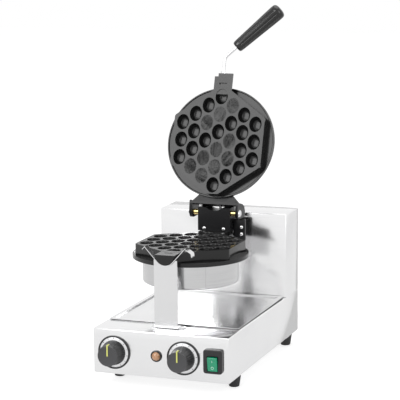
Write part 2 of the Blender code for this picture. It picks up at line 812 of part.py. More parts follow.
lower_mould = mould("lower_mould", Matrix(), rotor_frame, tab_drop, (
    (-lug_half_width, lug_half_width), (lug_root, bracket_rear - fit_gap),
    (-hex_height - flange_thickness / 3, -lower_lug_drop)))
upper_mould = mould("upper_mould", to_lid @ mirror_up, lid_frame, upper_tab_drop)
notch_start = -tab_reach + tab_notch_length
combine(upper_mould, moved_mesh(box_mesh(
    (-tab_radius - sheet, -tab_radius + tab_notch_width), (-tab_reach - sheet, notch_start),
    (-sheet, tab_radius + sheet)), matrix=to_lid))


def heater_set(label, matrix, parent):
    # The ring heater under a casting, the drum over it, and the centre bolt that holds the drum
    def at(mesh):
        return moved_mesh(mesh, matrix=matrix)

    drum_top = -casting_bottom - fit_gap
    outer, inner = drum_radius, drum_radius - drum_wall
    bolt_hole = drum_bolt_radius + fit_gap
    finish(label + "_drum", at(turned_mesh((
        (inner, drum_top), (outer, drum_top), (outer, -drum_end + drum_corner),
        (outer - drum_corner * 0.3, -drum_end + drum_corner * 0.3), (outer - drum_corner, -drum_end),
        (bolt_hole, -drum_end), (bolt_hole, -drum_end + drum_wall), (inner, -drum_end + drum_wall)),
        round_steps)), parent, "brushed_steel")
    ring = []
    tube_z = -casting_bottom - fit_gap - heater_tube_radius
    for step in range(6):
        angle = 2 * pi * step / 6
        ring.append((heater_ring_radius + heater_tube_radius * cos(angle),
                     tube_z + heater_tube_radius * sin(angle)))
    finish(label + "_heater", at(turned_mesh(ring, shaft_steps)), parent, "dark_metal")
    head_z = -drum_end - fit_gap
    finish(label + "_drum_bolt", at(turned_mesh((
        (0.0, drum_top), (drum_bolt_radius, drum_top), (drum_bolt_radius, head_z),
        (drum_bolt_head_radius, head_z), (drum_bolt_head_radius, head_z - drum_bolt_head_height * 0.6),
        (drum_bolt_head_radius * 0.6, head_z - drum_bolt_head_height),
        (0.0, head_z - drum_bolt_head_height)), 16)), parent, "polished_steel")


heater_set("lower", Matrix(), rotor_frame)
heater_set("upper", to_lid @ mirror_up, lid_frame)

# Hinge bracket, bolted up on the lower casting's lug
bracket_bottom = -lower_lug_drop + fit_gap
dip_radius = (bracket_dip_half ** 2 + bracket_dip_depth ** 2) / (2 * bracket_dip_depth)
bracket_outline = [
    (-bracket_half_width, bracket_bottom), (bracket_half_width, bracket_bottom),
    (bracket_half_width, bracket_top),
]
dip_half_angle = atan2(bracket_dip_half, dip_radius - bracket_dip_depth)
for step in range(9):
    angle = dip_half_angle * (1 - 2 * step / 8)
    bracket_outline.append((
        dip_radius * sin(angle), bracket_top + dip_radius - bracket_dip_depth - dip_radius * cos(angle)))
bracket_outline.append((-bracket_half_width, bracket_top))
hinge_bracket = finish("hinge_bracket", prism_mesh(
    bracket_outline, "Y", bracket_front, bracket_rear), rotor_frame, "black_steel")
combine(hinge_bracket, round_tool(
    pin_radius + fit_gap, -half_width, half_width, "X", (0.0, hinge_back, hinge_rise)))
combine(hinge_bracket, box_mesh(
    (-bracket_half_width, bracket_half_width), (bracket_rear - upstand_thickness, bracket_rear),
    (bracket_top - sheet, hinge_rise + upstand_height), foot_edge, 2, "Y"), "UNION")
for name, x in (("lug_screw_left", -lug_screw_x), ("lug_screw_right", lug_screw_x)):
    seat = -hex_height - flange_thickness / 3 - fit_gap
    place = (x, lug_screw_y, seat)
    downward = Matrix.Translation(place) @ Matrix.Rotation(pi, 4, "X")
    finish(name, moved_mesh(screw_mesh(lug_screw_rise - seat), matrix=downward),
           rotor_frame, "polished_steel")
    for piece in (hinge_bracket, lower_mould):
        combine(piece, round_tool(
            screw_shank_radius + fit_gap, seat - sheet, lug_screw_rise + fit_gap, "Z",
            (*place[:2], 0.0), screw_steps))
for name, x in (("bracket_screw_left", -bracket_screw_x), ("bracket_screw_right", bracket_screw_x)):
    place = (x, bracket_front - fit_gap, bracket_screw_z)
    to_front = Matrix.Translation(place) @ Matrix.Rotation(pi / 2, 4, "X")
    reach = bracket_depth + hub_thickness
    finish(name, moved_mesh(screw_mesh(reach), matrix=to_front), rotor_frame, "polished_steel")
    combine(hinge_bracket, round_tool(
        screw_shank_radius + fit_gap, bracket_front - sheet, bracket_rear + sheet, "Y",
        (x, 0.0, bracket_screw_z), 14))
yoke_plate_outer = casting_bottom + fit_gap + yoke_plate_thickness - hinge_rise
open_sine, open_cosine = sin(radians(hinge_open_degrees)), cos(radians(hinge_open_degrees))
stop_y = hinge_back + (yoke_plate_outer - stop_bolt_rise * open_cosine) / open_sine + stop_bolt_radius + fit_gap
stop_seat = hinge_rise - stop_bolt_seat_drop
combine(hinge_bracket, round_tool(
    stop_bolt_radius + fit_gap, stop_seat - fit_gap, bracket_top + sheet, "Z", (stop_bolt_x, stop_y, 0.0), small_steps))
stop_top = hinge_rise + stop_bolt_rise
finish("stop_bolt", moved_mesh(turned_mesh((
    (0.0, stop_top), (stop_bolt_radius * 0.8, stop_top), (stop_bolt_radius, stop_top - stop_bolt_radius * 0.2),
    (stop_bolt_radius, stop_seat), (0.0, stop_seat)), small_steps), (stop_bolt_x, stop_y, 0.0)),
    rotor_frame, "polished_steel")

# Hinge pin with a domed head on the right, and two brass bushes beside the bracket
pin_reach = cheek_inner + cheek_thickness + fit_gap
hinge_pin = finish("hinge_pin", moved_mesh(turned_mesh((
    (0.0, -pin_reach - pin_head_thickness), (pin_end_radius, -pin_reach - pin_head_thickness),
    (pin_end_radius, -pin_reach), (pin_radius, -pin_reach), (pin_radius, pin_reach),
    (pin_head_radius, pin_reach), (pin_head_radius * 0.85, pin_reach + pin_head_thickness * 0.55),
    (pin_head_radius * 0.45, pin_reach + pin_head_thickness * 0.92),
    (0.0, pin_reach + pin_head_thickness)), small_steps, "X"),
    (0.0, hinge_back, hinge_rise)), rotor_frame, "polished_steel")
bush_inner_end = bracket_half_width + fit_gap
bush_outer_end = cheek_inner - turn_gap
for name, side in (("hinge_bush_left", -1), ("hinge_bush_right", 1)):
    ends = sorted((side * bush_inner_end, side * bush_outer_end))
    finish(name, moved_mesh(turned_mesh((
        (pin_radius + fit_gap, ends[0]), (bush_radius, ends[0]), (bush_radius, ends[1]),
        (pin_radius + fit_gap, ends[1])), small_steps, "X"),
        (0.0, hinge_back, hinge_rise)), rotor_frame, "brass")

# Cover over the heater leads, with its two screws
cover_left = bracket_half_width + fit_gap
cover_front = bracket_front + lead_cover_setback
lead_cover = finish("lead_cover", box_mesh(
    (cover_left, cover_left + lead_cover_width), (cover_front, cover_front + lead_cover_depth),
    (-lead_cover_bottom, lead_cover_top), foot_edge), rotor_frame, "black_steel")
for name, z in (("lead_cover_screw_upper", lead_screw_upper_z), ("lead_cover_screw_lower", -lead_screw_lower_z)):
    place = (lead_screw_x, cover_front - fit_gap, z)
    to_front = Matrix.Translation(place) @ Matrix.Rotation(pi / 2, 4, "X")
    finish(name, moved_mesh(screw_mesh(lead_cover_depth * 0.7), matrix=to_front), rotor_frame, "polished_steel")
    combine(lead_cover, round_tool(
        screw_shank_radius + fit_gap, cover_front - sheet, cover_front + lead_cover_depth * 0.8, "Y",
        (lead_screw_x, 0.0, z), screw_steps))

# Rotor shaft with its hub, and the collar that keeps it in the tower
hub_front = bracket_rear + fit_gap
hub_rear = hub_front + hub_thickness
rotor_shaft = finish("rotor_shaft", turned_mesh((
    (0.0, hub_front), (hub_radius, hub_front), (hub_radius, hub_rear), (shaft_radius, hub_rear),
    (shaft_radius, shaft_end_reach), (0.0, shaft_end_reach)), shaft_steps, "Y"), rotor_frame, "dark_metal")
for x in (-bracket_screw_x, bracket_screw_x):
    combine(rotor_shaft, round_tool(
        screw_shank_radius + fit_gap, hub_front - sheet, hub_rear + sheet, "Y", (x, 0.0, bracket_screw_z), screw_steps))
finish("shaft_collar", turned_mesh((
    (shaft_radius + fit_gap, collar_start), (collar_radius, collar_start),
    (collar_radius, collar_start + collar_length), (shaft_radius + fit_gap, collar_start + collar_length)),
    shaft_steps, "Y"), rotor_frame, "dark_metal")

# Flanged front bearing on the tower's face, and the bearing stand inside the tower
bearing_rear = tower_front_y - fit_gap
bearing_bore = shaft_radius + turn_gap
finish("front_bearing", moved_mesh(turned_mesh((
    (bearing_bore, -bearing_thickness), (bearing_hub_radius, -bearing_thickness),
    (bearing_hub_radius, -bearing_thickness * 0.5), (bearing_radius, -bearing_thickness * 0.5),
    (bearing_radius, 0.0), (bearing_bore, 0.0)), shaft_steps, "Y"), (0.0, bearing_rear, axis_z)), None, "dark_metal")
stand_y = (mould_y + stand_front, mould_y + stand_front + stand_depth)
bearing_stand = finish("bearing_stand", box_mesh(
    (-stand_half_width, stand_half_width), stand_y, (tower_bottom, axis_z + stand_head), foot_edge),
    None, "dark_metal")
combine(bearing_stand, box_mesh(
    (-stand_foot_half_width, stand_foot_half_width), (stand_y[0] - stand_depth / 2, stand_y[1] + stand_depth / 2),
    (tower_bottom, tower_bottom + stand_foot_height)), "UNION")
combine(bearing_stand, round_tool(
    bearing_bore, stand_y[0] - sheet, stand_y[1] + sheet, "Y", (0.0, 0.0, axis_z), shaft_steps))

# Yoke of the lid: a plate on the upper casting, a cross bar and two cheeks on the pin
yoke_half = cheek_inner + cheek_thickness
plate_seat = casting_bottom + fit_gap
plate_outer = plate_seat + yoke_plate_thickness
hinge_yoke = finish("hinge_yoke", moved_mesh(prism_mesh((
    (-yoke_plate_root_half, yoke_plate_root), (yoke_plate_root_half, yoke_plate_root),
    (yoke_half, yoke_bar_front + weld_reach), (yoke_half, yoke_bar_rear - weld_reach),
    (-yoke_half, yoke_bar_rear - weld_reach), (-yoke_half, yoke_bar_front + weld_reach)),
    "Z", plate_seat, plate_outer), matrix=to_lid), lid_frame, "black_steel")
combine(hinge_yoke, moved_mesh(box_mesh(
    (-yoke_half, yoke_half), (yoke_bar_front, yoke_bar_rear), (yoke_bar_bottom, plate_outer - weld_reach)),
    matrix=to_lid), "UNION")
cheek_outline = [(a * cheek_size, b * cheek_size) for a, b in cheek_outline_shares]
for side in (-1, 1):
    ends = sorted((side * cheek_inner, side * (yoke_half + weld_reach)))
    combine(hinge_yoke, prism_mesh(cheek_outline, "X", *ends), "UNION")
combine(hinge_yoke, round_tool(
    pin_radius + turn_gap, -half_width, half_width, "X", (0.0, 0.0, 0.0)))
for name, x in (("yoke_screw_left", -yoke_screw_x), ("yoke_screw_right", yoke_screw_x)):
    place = (x, yoke_screw_back - hinge_back, plate_outer + fit_gap - hinge_rise)
    reach = yoke_plate_thickness + flange_thickness * 0.8
    finish(name, moved_mesh(screw_mesh(reach), place), lid_frame, "polished_steel")
    for piece in (hinge_yoke, upper_mould):
        combine(piece, round_tool(
            screw_shank_radius + fit_gap, place[2] - reach - fit_gap * 2, place[2] + sheet, "Z",
            (*place[:2], 0.0), screw_steps))

# Handle: a bent rod screwed into the lid's tab, with its lock nut and a fluted grip
rod_z = rod_rise
slant = radians(rod_slant_degrees)
rod_start = Vector((-rod_x, -tab_reach + rod_socket, rod_z))
rod_bend_start = Vector((-rod_x, -tab_reach - rod_straight, rod_z))
rod_points = [rod_start, rod_bend_start]
bend_steps = 7
for step in range(1, bend_steps + 1):
    angle = slant * step / bend_steps
    rod_points.append(rod_bend_start + rod_bend_radius * Vector((1 - cos(angle), -sin(angle), 0.0)))
rod_way = Vector((sin(slant), -cos(slant), 0.0))
grip_start = rod_points[-1] + rod_way * rod_free_length
rod_points.append(grip_start + rod_way * rod_in_grip)
rod_curve = bpy.data.curves.new("handle_rod_path", "CURVE")
rod_curve.dimensions = "3D"
rod_curve.bevel_depth = rod_radius
rod_curve.bevel_resolution = 2
rod_curve.use_fill_caps = True
rod_spline = rod_curve.splines.new("POLY")
rod_spline.points.add(len(rod_points) - 1)
for spot, point in zip(rod_spline.points, rod_points):
    spot.co = (*(to_lid @ point), 1.0)
handle_rod = finish("handle_rod", drawn_mesh(rod_curve), lid_frame, "polished_steel")
combine(upper_mould, moved_mesh(round_tool(
    rod_radius + fit_gap, -tab_reach - sheet, -tab_reach + rod_socket + fit_gap, "Y",
    (-rod_x, 0.0, rod_z)), matrix=to_lid))
nut_front = -tab_reach - fit_gap - rod_nut_length
nut_bore = (rod_radius + fit_gap) / cos(pi / 6)
finish("handle_nut", moved_mesh(turned_mesh((
    (nut_bore, nut_front), (rod_nut_radius * 0.9, nut_front),
    (rod_nut_radius, nut_front + rod_nut_length * 0.2), (rod_nut_radius, -tab_reach - fit_gap),
    (nut_bore, -tab_reach - fit_gap)), 6, "Y"),
    matrix=to_lid @ Matrix.Translation((-rod_x, 0.0, rod_z))), lid_frame, "polished_steel")
grip_turn = Matrix.Translation(grip_start) @ Matrix.Rotation(pi + slant, 4, "Z")
grip_sections = (
    (0.0, grip_near_radius * 0.82, 0.0),
    (grip_end_round * 0.5, grip_near_radius, 0.0),
    (grip_end_round * 1.5, grip_near_radius * 1.02, grip_flute_depth),
    (grip_length * 0.5, (grip_near_radius + grip_far_radius) * 0.5, grip_flute_depth),
    (grip_length - grip_end_round * 1.5, grip_far_radius, grip_flute_depth),
    (grip_length - grip_end_round * 0.6, grip_far_radius * 0.97, 0.0),
    (grip_length - grip_end_round * 0.15, grip_far_radius * 0.85, 0.0),
    (grip_length, grip_far_radius * 0.62, 0.0),
)
handle_grip = finish("handle_grip", moved_mesh(
    loft_mesh(grip_sections, grip_flutes * 2), matrix=to_lid @ grip_turn), lid_frame, "bakelite")
combine(handle_grip, moved_mesh(
    round_tool(rod_radius + fit_gap, -sheet, rod_in_grip + fit_gap, "Y", (0.0, 0.0, 0.0)),
    matrix=to_lid @ grip_turn))


def control(label, x):
    # A dial ring on the panel, a ribbed knob with its pointer, the spindle, and the switch body inside
    place = (x, front_y, base_bottom_z + knob_height)
    knob_frame = frame(label + "_knob_axis", place)
    rim_inner = dial_radius - dial_rim_width
    finish(label + "_dial", moved_mesh(turned_mesh((
        (spindle_hole_radius, -dial_thickness), (rim_inner, -dial_thickness),
        (rim_inner, -dial_thickness - dial_rim_height), (dial_radius - dial_rim_height, -dial_thickness - dial_rim_height),
        (dial_radius, -dial_thickness), (dial_radius, -fit_gap), (spindle_hole_radius, -fit_gap)),
        round_steps, "Y"), place), None, "polished_steel")
    knob_face = -knob_start - knob_length
    knob = finish(label + "_knob", loft_mesh((
        (-knob_start, knob_base_radius, 0.0),
        (-knob_start - knob_edge, knob_base_radius, knob_rib_depth),
        (knob_face + knob_edge * 1.5, knob_face_radius + knob_edge * 0.3, knob_rib_depth),
        (knob_face + knob_edge * 0.3, knob_face_radius, 0.0),
        (knob_face, knob_face_radius - knob_edge, 0.0)), knob_ribs * 2), knob_frame, "knob_plastic")
    combine(knob, turned_mesh((
        (0.0, -spindle_in_knob - fit_gap - knob_start), (spindle_radius + fit_gap, -spindle_in_knob - fit_gap - knob_start),
        (spindle_radius + fit_gap, sheet), (0.0, sheet)), small_steps, "Y"))

    def pointer_outline(grow):
        side_radius = knob_face_radius + (knob_base_radius - knob_face_radius) * pointer_side_length / knob_length
        inner = pointer_proud + grow
        return (
            (knob_face + inner, -grow), (knob_face + inner, knob_face_radius - inner * 1.6),
            (knob_face + pointer_side_length + grow, side_radius - inner),
            (knob_face + pointer_side_length + grow, side_radius + pointer_proud),
            (knob_face + pointer_proud, knob_face_radius + pointer_proud * 1.3),
            (knob_face - pointer_proud, knob_face_radius - pointer_proud * 0.8), (knob_face - pointer_proud, -grow),
        )

    half = pointer_width / 2
    combine(knob, prism_mesh(pointer_outline(fit_gap), "X", -half - fit_gap, half + fit_gap))
    finish(label + "_pointer", prism_mesh(pointer_outline(0.0), "X", -half, half), knob_frame, "pointer_plastic")
    finish(label + "_spindle", turned_mesh((
        (0.0, -spindle_in_knob - knob_start), (spindle_radius, -spindle_in_knob - knob_start),
        (spindle_radius, spindle_inside), (0.0, spindle_inside)), small_steps, "Y"), knob_frame, "dark_metal")
    side = control_body_side / 2
    body = finish(label + "_body", moved_mesh(box_mesh(
        (-side, side), (sheet + fit_gap, sheet + fit_gap + control_body_depth), (-side, side), foot_edge),
        place), None, "cream_plastic")
    combine(body, round_tool(
        spindle_radius + turn_gap, 0.0, spindle_inside + fit_gap, "Y", place))


control("timer", -timer_x)
control("thermostat", thermostat_x)

# Indicator lamp
lamp_place = (-lamp_x, front_y, base_bottom_z + lamp_height)
lamp_seat = lamp_bezel_thickness * 0.35
finish("lamp_bezel", moved_mesh(turned_mesh((
    (0.0, -lamp_seat), (lamp_lens_radius + fit_gap, -lamp_seat),
    (lamp_lens_radius + fit_gap, -lamp_bezel_thickness), (lamp_radius * 0.92, -lamp_bezel_thickness),
    (lamp_radius, -lamp_bezel_thickness * 0.7), (lamp_radius, -fit_gap), (lamp_barrel_radius, -fit_gap),
    (lamp_barrel_radius, lamp_barrel_length), (0.0, lamp_barrel_length)), shaft_steps, "Y"), lamp_place),
    None, "knob_plastic")
finish("lamp_lens", moved_mesh(turned_mesh((
    (0.0, -lamp_bezel_thickness - lamp_dome_height),
    (lamp_lens_radius * 0.5, -lamp_bezel_thickness - lamp_dome_height * 0.87),
    (lamp_lens_radius * 0.85, -lamp_bezel_thickness - lamp_dome_height * 0.5),
    (lamp_lens_radius, -lamp_bezel_thickness), (lamp_lens_radius, -lamp_seat - fit_gap),
    (0.0, -lamp_seat - fit_gap)), shaft_steps, "Y"), lamp_place), None, "amber_plastic")

# Mains rocker switch: thick bezel, rocker on two trunnions, body through the panel
switch_place = (switch_x, front_y, switch_z)
bezel_edge = switch_corner * 0.4
switch_bezel = finish("switch_bezel", moved_mesh(box_mesh(
    (-switch_width / 2, switch_width / 2), (-switch_bezel_thickness, -fit_gap),
    (-switch_tall / 2, switch_tall / 2), switch_corner, 3, "Y"), switch_place), None, "black_steel")
combine(switch_bezel, moved_mesh(box_mesh(
    (-switch_width / 2, switch_width / 2), (-switch_bezel_thickness, switch_bezel_thickness),
    (-switch_tall / 2, switch_tall / 2), bezel_edge, 2), switch_place), "INTERSECT")
window_x = switch_window_width / 2
window_z = (-switch_window_drop - switch_window_tall / 2, -switch_window_drop + switch_window_tall / 2)
combine(switch_bezel, moved_mesh(box_mesh(
    (-window_x, window_x), (-switch_bezel_thickness - sheet, sheet), window_z), switch_place))
rocker_pivot_y = -switch_bezel_thickness * 0.6
rocker_frame = frame("switch_rocker_axis", (switch_x, front_y + rocker_pivot_y, switch_z - switch_window_drop),
                     (radians(rocker_tilt_degrees), 0.0, 0.0))
rocker_half = window_x - rocker_clearance
rocker_tall_half = switch_window_tall / 2 - rocker_clearance
rocker_face = -switch_bezel_thickness - rocker_proud - rocker_pivot_y
switch_rocker = finish("switch_rocker", box_mesh(
    (-rocker_half, rocker_half), (rocker_face, rocker_face + rocker_thickness),
    (-rocker_tall_half, rocker_tall_half), foot_edge * 0.5), rocker_frame, "green_plastic")
trunnion_reach = window_x + rocker_clearance
combine(switch_rocker, round_tool(
    rocker_clearance, -trunnion_reach, trunnion_reach, "X", (0.0, 0.0, 0.0), 12), "UNION")
combine(switch_bezel, moved_mesh(round_tool(
    rocker_clearance + fit_gap, -trunnion_reach - fit_gap, trunnion_reach + fit_gap, "X",
    (0.0, rocker_pivot_y, -switch_window_drop), 16), switch_place))
finish("switch_body", moved_mesh(box_mesh(
    (-switch_body_width / 2, switch_body_width / 2), (0.0, switch_body_depth),
    (-switch_body_tall / 2, switch_body_tall / 2)), switch_place), None, "knob_plastic")

# Connection block on the bottom plate, and the gland for a lead at the rear
finish("terminal_block", box_mesh(
    (gland_x - terminal_width / 2, gland_x + terminal_width / 2),
    (rear_y - terminal_back, rear_y - terminal_back + terminal_depth),
    (base_bottom_z + sheet + fit_gap, base_bottom_z + sheet + fit_gap + terminal_height), foot_edge),
    None, "cream_plastic")
gland_nose = fit_gap + gland_flange_thickness + gland_nose_length
finish("cable_gland", moved_mesh(turned_mesh((
    (gland_bore_radius, -gland_inside), (gland_radius, -gland_inside), (gland_radius, fit_gap),
    (gland_flange_radius, fit_gap), (gland_flange_radius, fit_gap + gland_flange_thickness),
    (gland_radius, fit_gap + gland_flange_thickness), (gland_radius * 0.78, gland_nose),
    (gland_bore_radius, gland_nose)), shaft_steps, "Y"),
    (gland_x, rear_y, base_bottom_z + gland_height)), None, "bakelite")
bpy.context.view_layer.update()
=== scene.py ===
# %% [markdown]
# # A rotating bubble waffle maker
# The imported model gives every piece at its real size, in metres. This lesson dresses it: it
# reads the pieces, makes the finishes, models the visible pieces again with smooth round
# forms, and sets up a small photo studio round the machine.

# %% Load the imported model
import bpy
from math import cos, pi, radians, sin
from mathutils import Matrix, Vector


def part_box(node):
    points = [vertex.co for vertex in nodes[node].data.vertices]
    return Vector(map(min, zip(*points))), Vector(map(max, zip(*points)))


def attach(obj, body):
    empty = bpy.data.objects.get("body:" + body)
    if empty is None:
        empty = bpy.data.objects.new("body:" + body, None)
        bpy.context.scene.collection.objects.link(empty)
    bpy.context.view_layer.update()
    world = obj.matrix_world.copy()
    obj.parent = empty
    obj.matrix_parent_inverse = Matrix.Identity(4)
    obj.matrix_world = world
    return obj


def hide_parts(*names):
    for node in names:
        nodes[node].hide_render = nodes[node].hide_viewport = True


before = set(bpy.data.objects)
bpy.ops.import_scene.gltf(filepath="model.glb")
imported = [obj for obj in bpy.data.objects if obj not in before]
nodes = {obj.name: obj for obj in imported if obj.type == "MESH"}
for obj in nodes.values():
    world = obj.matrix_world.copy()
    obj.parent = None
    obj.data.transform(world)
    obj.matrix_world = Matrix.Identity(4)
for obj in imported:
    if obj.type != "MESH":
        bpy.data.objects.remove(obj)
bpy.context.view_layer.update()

# %% [markdown]
# ## Helpers for modelling by hand
# Each helper does what a person does in the viewport: deselect everything, add a primitive
# at its size and place, shape it in edit mode, and apply its place to its mesh, so that the
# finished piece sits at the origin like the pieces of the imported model.

# %% Start a piece and finish it
def deselect_all():
    if bpy.context.object and bpy.context.object.mode != "OBJECT":
        bpy.ops.object.mode_set(mode="OBJECT")
    bpy.ops.object.select_all(action="DESELECT")


def make_active(piece):
    deselect_all()
    piece.select_set(True)
    bpy.context.view_layer.objects.active = piece


def place_in_mesh(piece, name):
    make_active(piece)
    piece.name = name
    piece.data.name = name
    bpy.ops.object.transform_apply(location=True, rotation=True, scale=True)
    return piece


def clean_up(piece, angle=35):
    make_active(piece)
    bpy.ops.object.mode_set(mode="EDIT")
    bpy.ops.mesh.select_all(action="SELECT")
    bpy.ops.mesh.remove_doubles(threshold=0.000002)
    bpy.ops.mesh.normals_make_consistent(inside=False)
    bpy.ops.object.mode_set(mode="OBJECT")
    bpy.ops.object.shade_smooth_by_angle(angle=radians(angle))
    return piece


def apply_modifier(piece, modifier):
    make_active(piece)
    bpy.ops.object.modifier_apply(modifier=modifier.name)


def soften(piece, width, segments=3, angle=40):
    bevel = piece.modifiers.new("softened edges", "BEVEL")
    bevel.width = width
    bevel.segments = segments
    bevel.limit_method = "ANGLE"
    bevel.angle_limit = radians(angle)
    apply_modifier(piece, bevel)
    return piece


def join_or_cut(piece, tool, operation="DIFFERENCE"):
    step = piece.modifiers.new("step", "BOOLEAN")
    step.operation = operation
    step.solver = "EXACT"
    step.object = tool
    apply_modifier(piece, step)
    bpy.data.objects.remove(tool, do_unlink=True)
    return piece


def gather(pieces, name):
    deselect_all()
    for piece in pieces:
        piece.select_set(True)
    bpy.context.view_layer.objects.active = pieces[0]
    bpy.ops.object.join()
    pieces[0].name = name
    return pieces[0]

# %% Primitives at their size and place
turned_to = {"X": (0.0, pi / 2, 0.0), "Y": (-pi / 2, 0.0, 0.0), "Z": (0.0, 0.0, 0.0)}


def block(name, low, high, edge=0.0, segments=3):
    low, high = Vector(low), Vector(high)
    deselect_all()
    bpy.ops.mesh.primitive_cube_add(size=1.0, location=(low + high) / 2, scale=high - low)
    piece = place_in_mesh(bpy.context.object, name)
    return soften(piece, edge, segments) if edge else piece


def rod(name, radius, length, middle, axis="Z", corners=48, tip=None):
    deselect_all()
    bpy.ops.mesh.primitive_cone_add(
        vertices=corners, radius1=radius, radius2=radius if tip is None else tip, depth=length,
        location=middle, rotation=turned_to[axis])
    return place_in_mesh(bpy.context.object, name)

# %% Draw a profile and turn it, or draw an outline and thicken it
def trace(points):
    deselect_all()
    bpy.ops.mesh.primitive_plane_add(size=0.001, location=points[0])
    bpy.ops.object.mode_set(mode="EDIT")
    bpy.ops.mesh.select_all(action="SELECT")
    bpy.ops.mesh.merge(type="CENTER")
    for before, after in zip(points, points[1:]):
        step = [b - a for a, b in zip(before, after)]
        bpy.ops.mesh.extrude_vertices_move(TRANSFORM_OT_translate={"value": step})
    return bpy.context.object


def turned(name, profile, corners=96, matrix=None, smooth_angle=35):
    # The profile is (radius, height) from the top down; it turns about Z, then the matrix places it
    piece = trace([(radius, 0.0, height) for radius, height in profile])
    bpy.ops.mesh.select_all(action="SELECT")
    bpy.ops.mesh.spin(steps=corners, angle=2 * pi, center=(0.0, 0.0, 0.0), axis=(0.0, 0.0, 1.0))
    bpy.ops.object.mode_set(mode="OBJECT")
    piece = place_in_mesh(piece, name)
    clean_up(piece, smooth_angle)
    return moved(piece, matrix) if matrix else piece


def plate(name, outline, thickness, matrix=None):
    # The outline is (x, y), closed, at height 0; it is drawn down by the thickness
    piece = trace([(x, y, 0.0) for x, y in outline])
    bpy.ops.mesh.select_all(action="SELECT")
    bpy.ops.mesh.edge_face_add()
    bpy.ops.mesh.select_all(action="SELECT")
    bpy.ops.mesh.extrude_region_move(TRANSFORM_OT_translate={"value": (0.0, 0.0, -thickness)})
    bpy.ops.object.mode_set(mode="OBJECT")
    piece = place_in_mesh(piece, name)
    clean_up(piece)
    return moved(piece, matrix) if matrix else piece


def moved(piece, matrix):
    piece.matrix_world = matrix @ piece.matrix_world
    return place_in_mesh(piece, piece.name)


def copy_of(piece, name):
    twin = piece.copy()
    twin.data = piece.data.copy()
    bpy.context.scene.collection.objects.link(twin)
    twin.name = name
    return twin

# %% [markdown]
# ## Effects that several finishes share
# A node group is one effect with named sockets. Sheet metal and drums show fine brushing
# lines, castings show a fine grain, and everything has faint clouds of handling marks.
# Each group gives only values, and each material uses them at its own strength.

# %% Build a group
def new_group(name, inputs, outputs):
    tree = bpy.data.node_groups.new(name, "ShaderNodeTree")
    for label, kind, value in inputs:
        socket = tree.interface.new_socket(name=label, in_out="INPUT", socket_type=kind)
        socket.default_value = value
    for label, kind in outputs:
        tree.interface.new_socket(name=label, in_out="OUTPUT", socket_type=kind)
    return tree, tree.nodes.new("NodeGroupInput"), tree.nodes.new("NodeGroupOutput")


def add(tree, kind, settings=None, **values):
    node = tree.nodes.new(kind)
    for label, value in (settings or {}).items():
        setattr(node, label, value)
    for label, value in values.items():
        node.inputs[label.replace("_", " ")].default_value = value
    return node


def noise(tree, place, scale, detail=3.0, roughness=0.5):
    node = add(tree, "ShaderNodeTexNoise", Scale=scale, Detail=detail, Roughness=roughness)
    tree.links.new(place, node.inputs["Vector"])
    return node.outputs["Fac"]

# %% Brushing lines
lines_group, lines_in, lines_out = new_group(
    "brushing lines",
    (("Place", "NodeSocketVector", (0, 0, 0)), ("Stretch", "NodeSocketVector", (20, 20, 1600)),
     ("Top Stretch", "NodeSocketVector", (20, 1600, 20)), ("Facing", "NodeSocketVector", (0, 0, 1))),
    (("Lines", "NodeSocketFloat"), ("Clouds", "NodeSocketFloat")))
split = add(lines_group, "ShaderNodeSeparateXYZ")
upward = add(lines_group, "ShaderNodeMath", {"operation": "ABSOLUTE"})
is_top = add(lines_group, "ShaderNodeMath", {"operation": "GREATER_THAN"})
is_top.inputs[1].default_value = 0.7
pick = add(lines_group, "ShaderNodeMix", {"data_type": "VECTOR"})
stretched = add(lines_group, "ShaderNodeVectorMath", {"operation": "MULTIPLY"})
wire = lines_group.links.new
wire(lines_in.outputs["Facing"], split.inputs[0])
wire(split.outputs["Z"], upward.inputs[0])
wire(upward.outputs[0], is_top.inputs[0])
wire(is_top.outputs[0], pick.inputs["Factor"])
wire(lines_in.outputs["Stretch"], pick.inputs[4])
wire(lines_in.outputs["Top Stretch"], pick.inputs[5])
wire(lines_in.outputs["Place"], stretched.inputs[0])
wire(pick.outputs[1], stretched.inputs[1])
wire(noise(lines_group, stretched.outputs[0], 1.0, 4.0, 0.6), lines_out.inputs["Lines"])
wire(noise(lines_group, lines_in.outputs["Place"], 14.0, 2.0), lines_out.inputs["Clouds"])

# %% Grain of castings and mouldings
grain_group, grain_in, grain_out = new_group(
    "surface grain",
    (("Place", "NodeSocketVector", (0, 0, 0)), ("Fineness", "NodeSocketFloat", 900.0)),
    (("Grain", "NodeSocketFloat"), ("Pits", "NodeSocketFloat"), ("Clouds", "NodeSocketFloat")))
wire = grain_group.links.new
fine = add(grain_group, "ShaderNodeTexNoise", Detail=4.0, Roughness=0.65)
wire(grain_in.outputs["Place"], fine.inputs["Vector"])
wire(grain_in.outputs["Fineness"], fine.inputs["Scale"])
wire(fine.outputs["Fac"], grain_out.inputs["Grain"])
dots = add(grain_group, "ShaderNodeTexVoronoi", {"feature": "F1"})
coarser = add(grain_group, "ShaderNodeMath", {"operation": "MULTIPLY"})
coarser.inputs[1].default_value = 0.6
wire(grain_in.outputs["Fineness"], coarser.inputs[0])
wire(grain_in.outputs["Place"], dots.inputs["Vector"])
wire(coarser.outputs[0], dots.inputs["Scale"])
wire(dots.outputs["Distance"], grain_out.inputs["Pits"])
wire(noise(grain_group, grain_in.outputs["Place"], 22.0, 3.0), grain_out.inputs["Clouds"])

# %% [markdown]
# ## Finishes
# Every finish is a Principled shader. Its colour, roughness and bump come from the effects
# above, so no surface is one flat value. Values that don't change over the surface are set
# on the shader's own sockets.

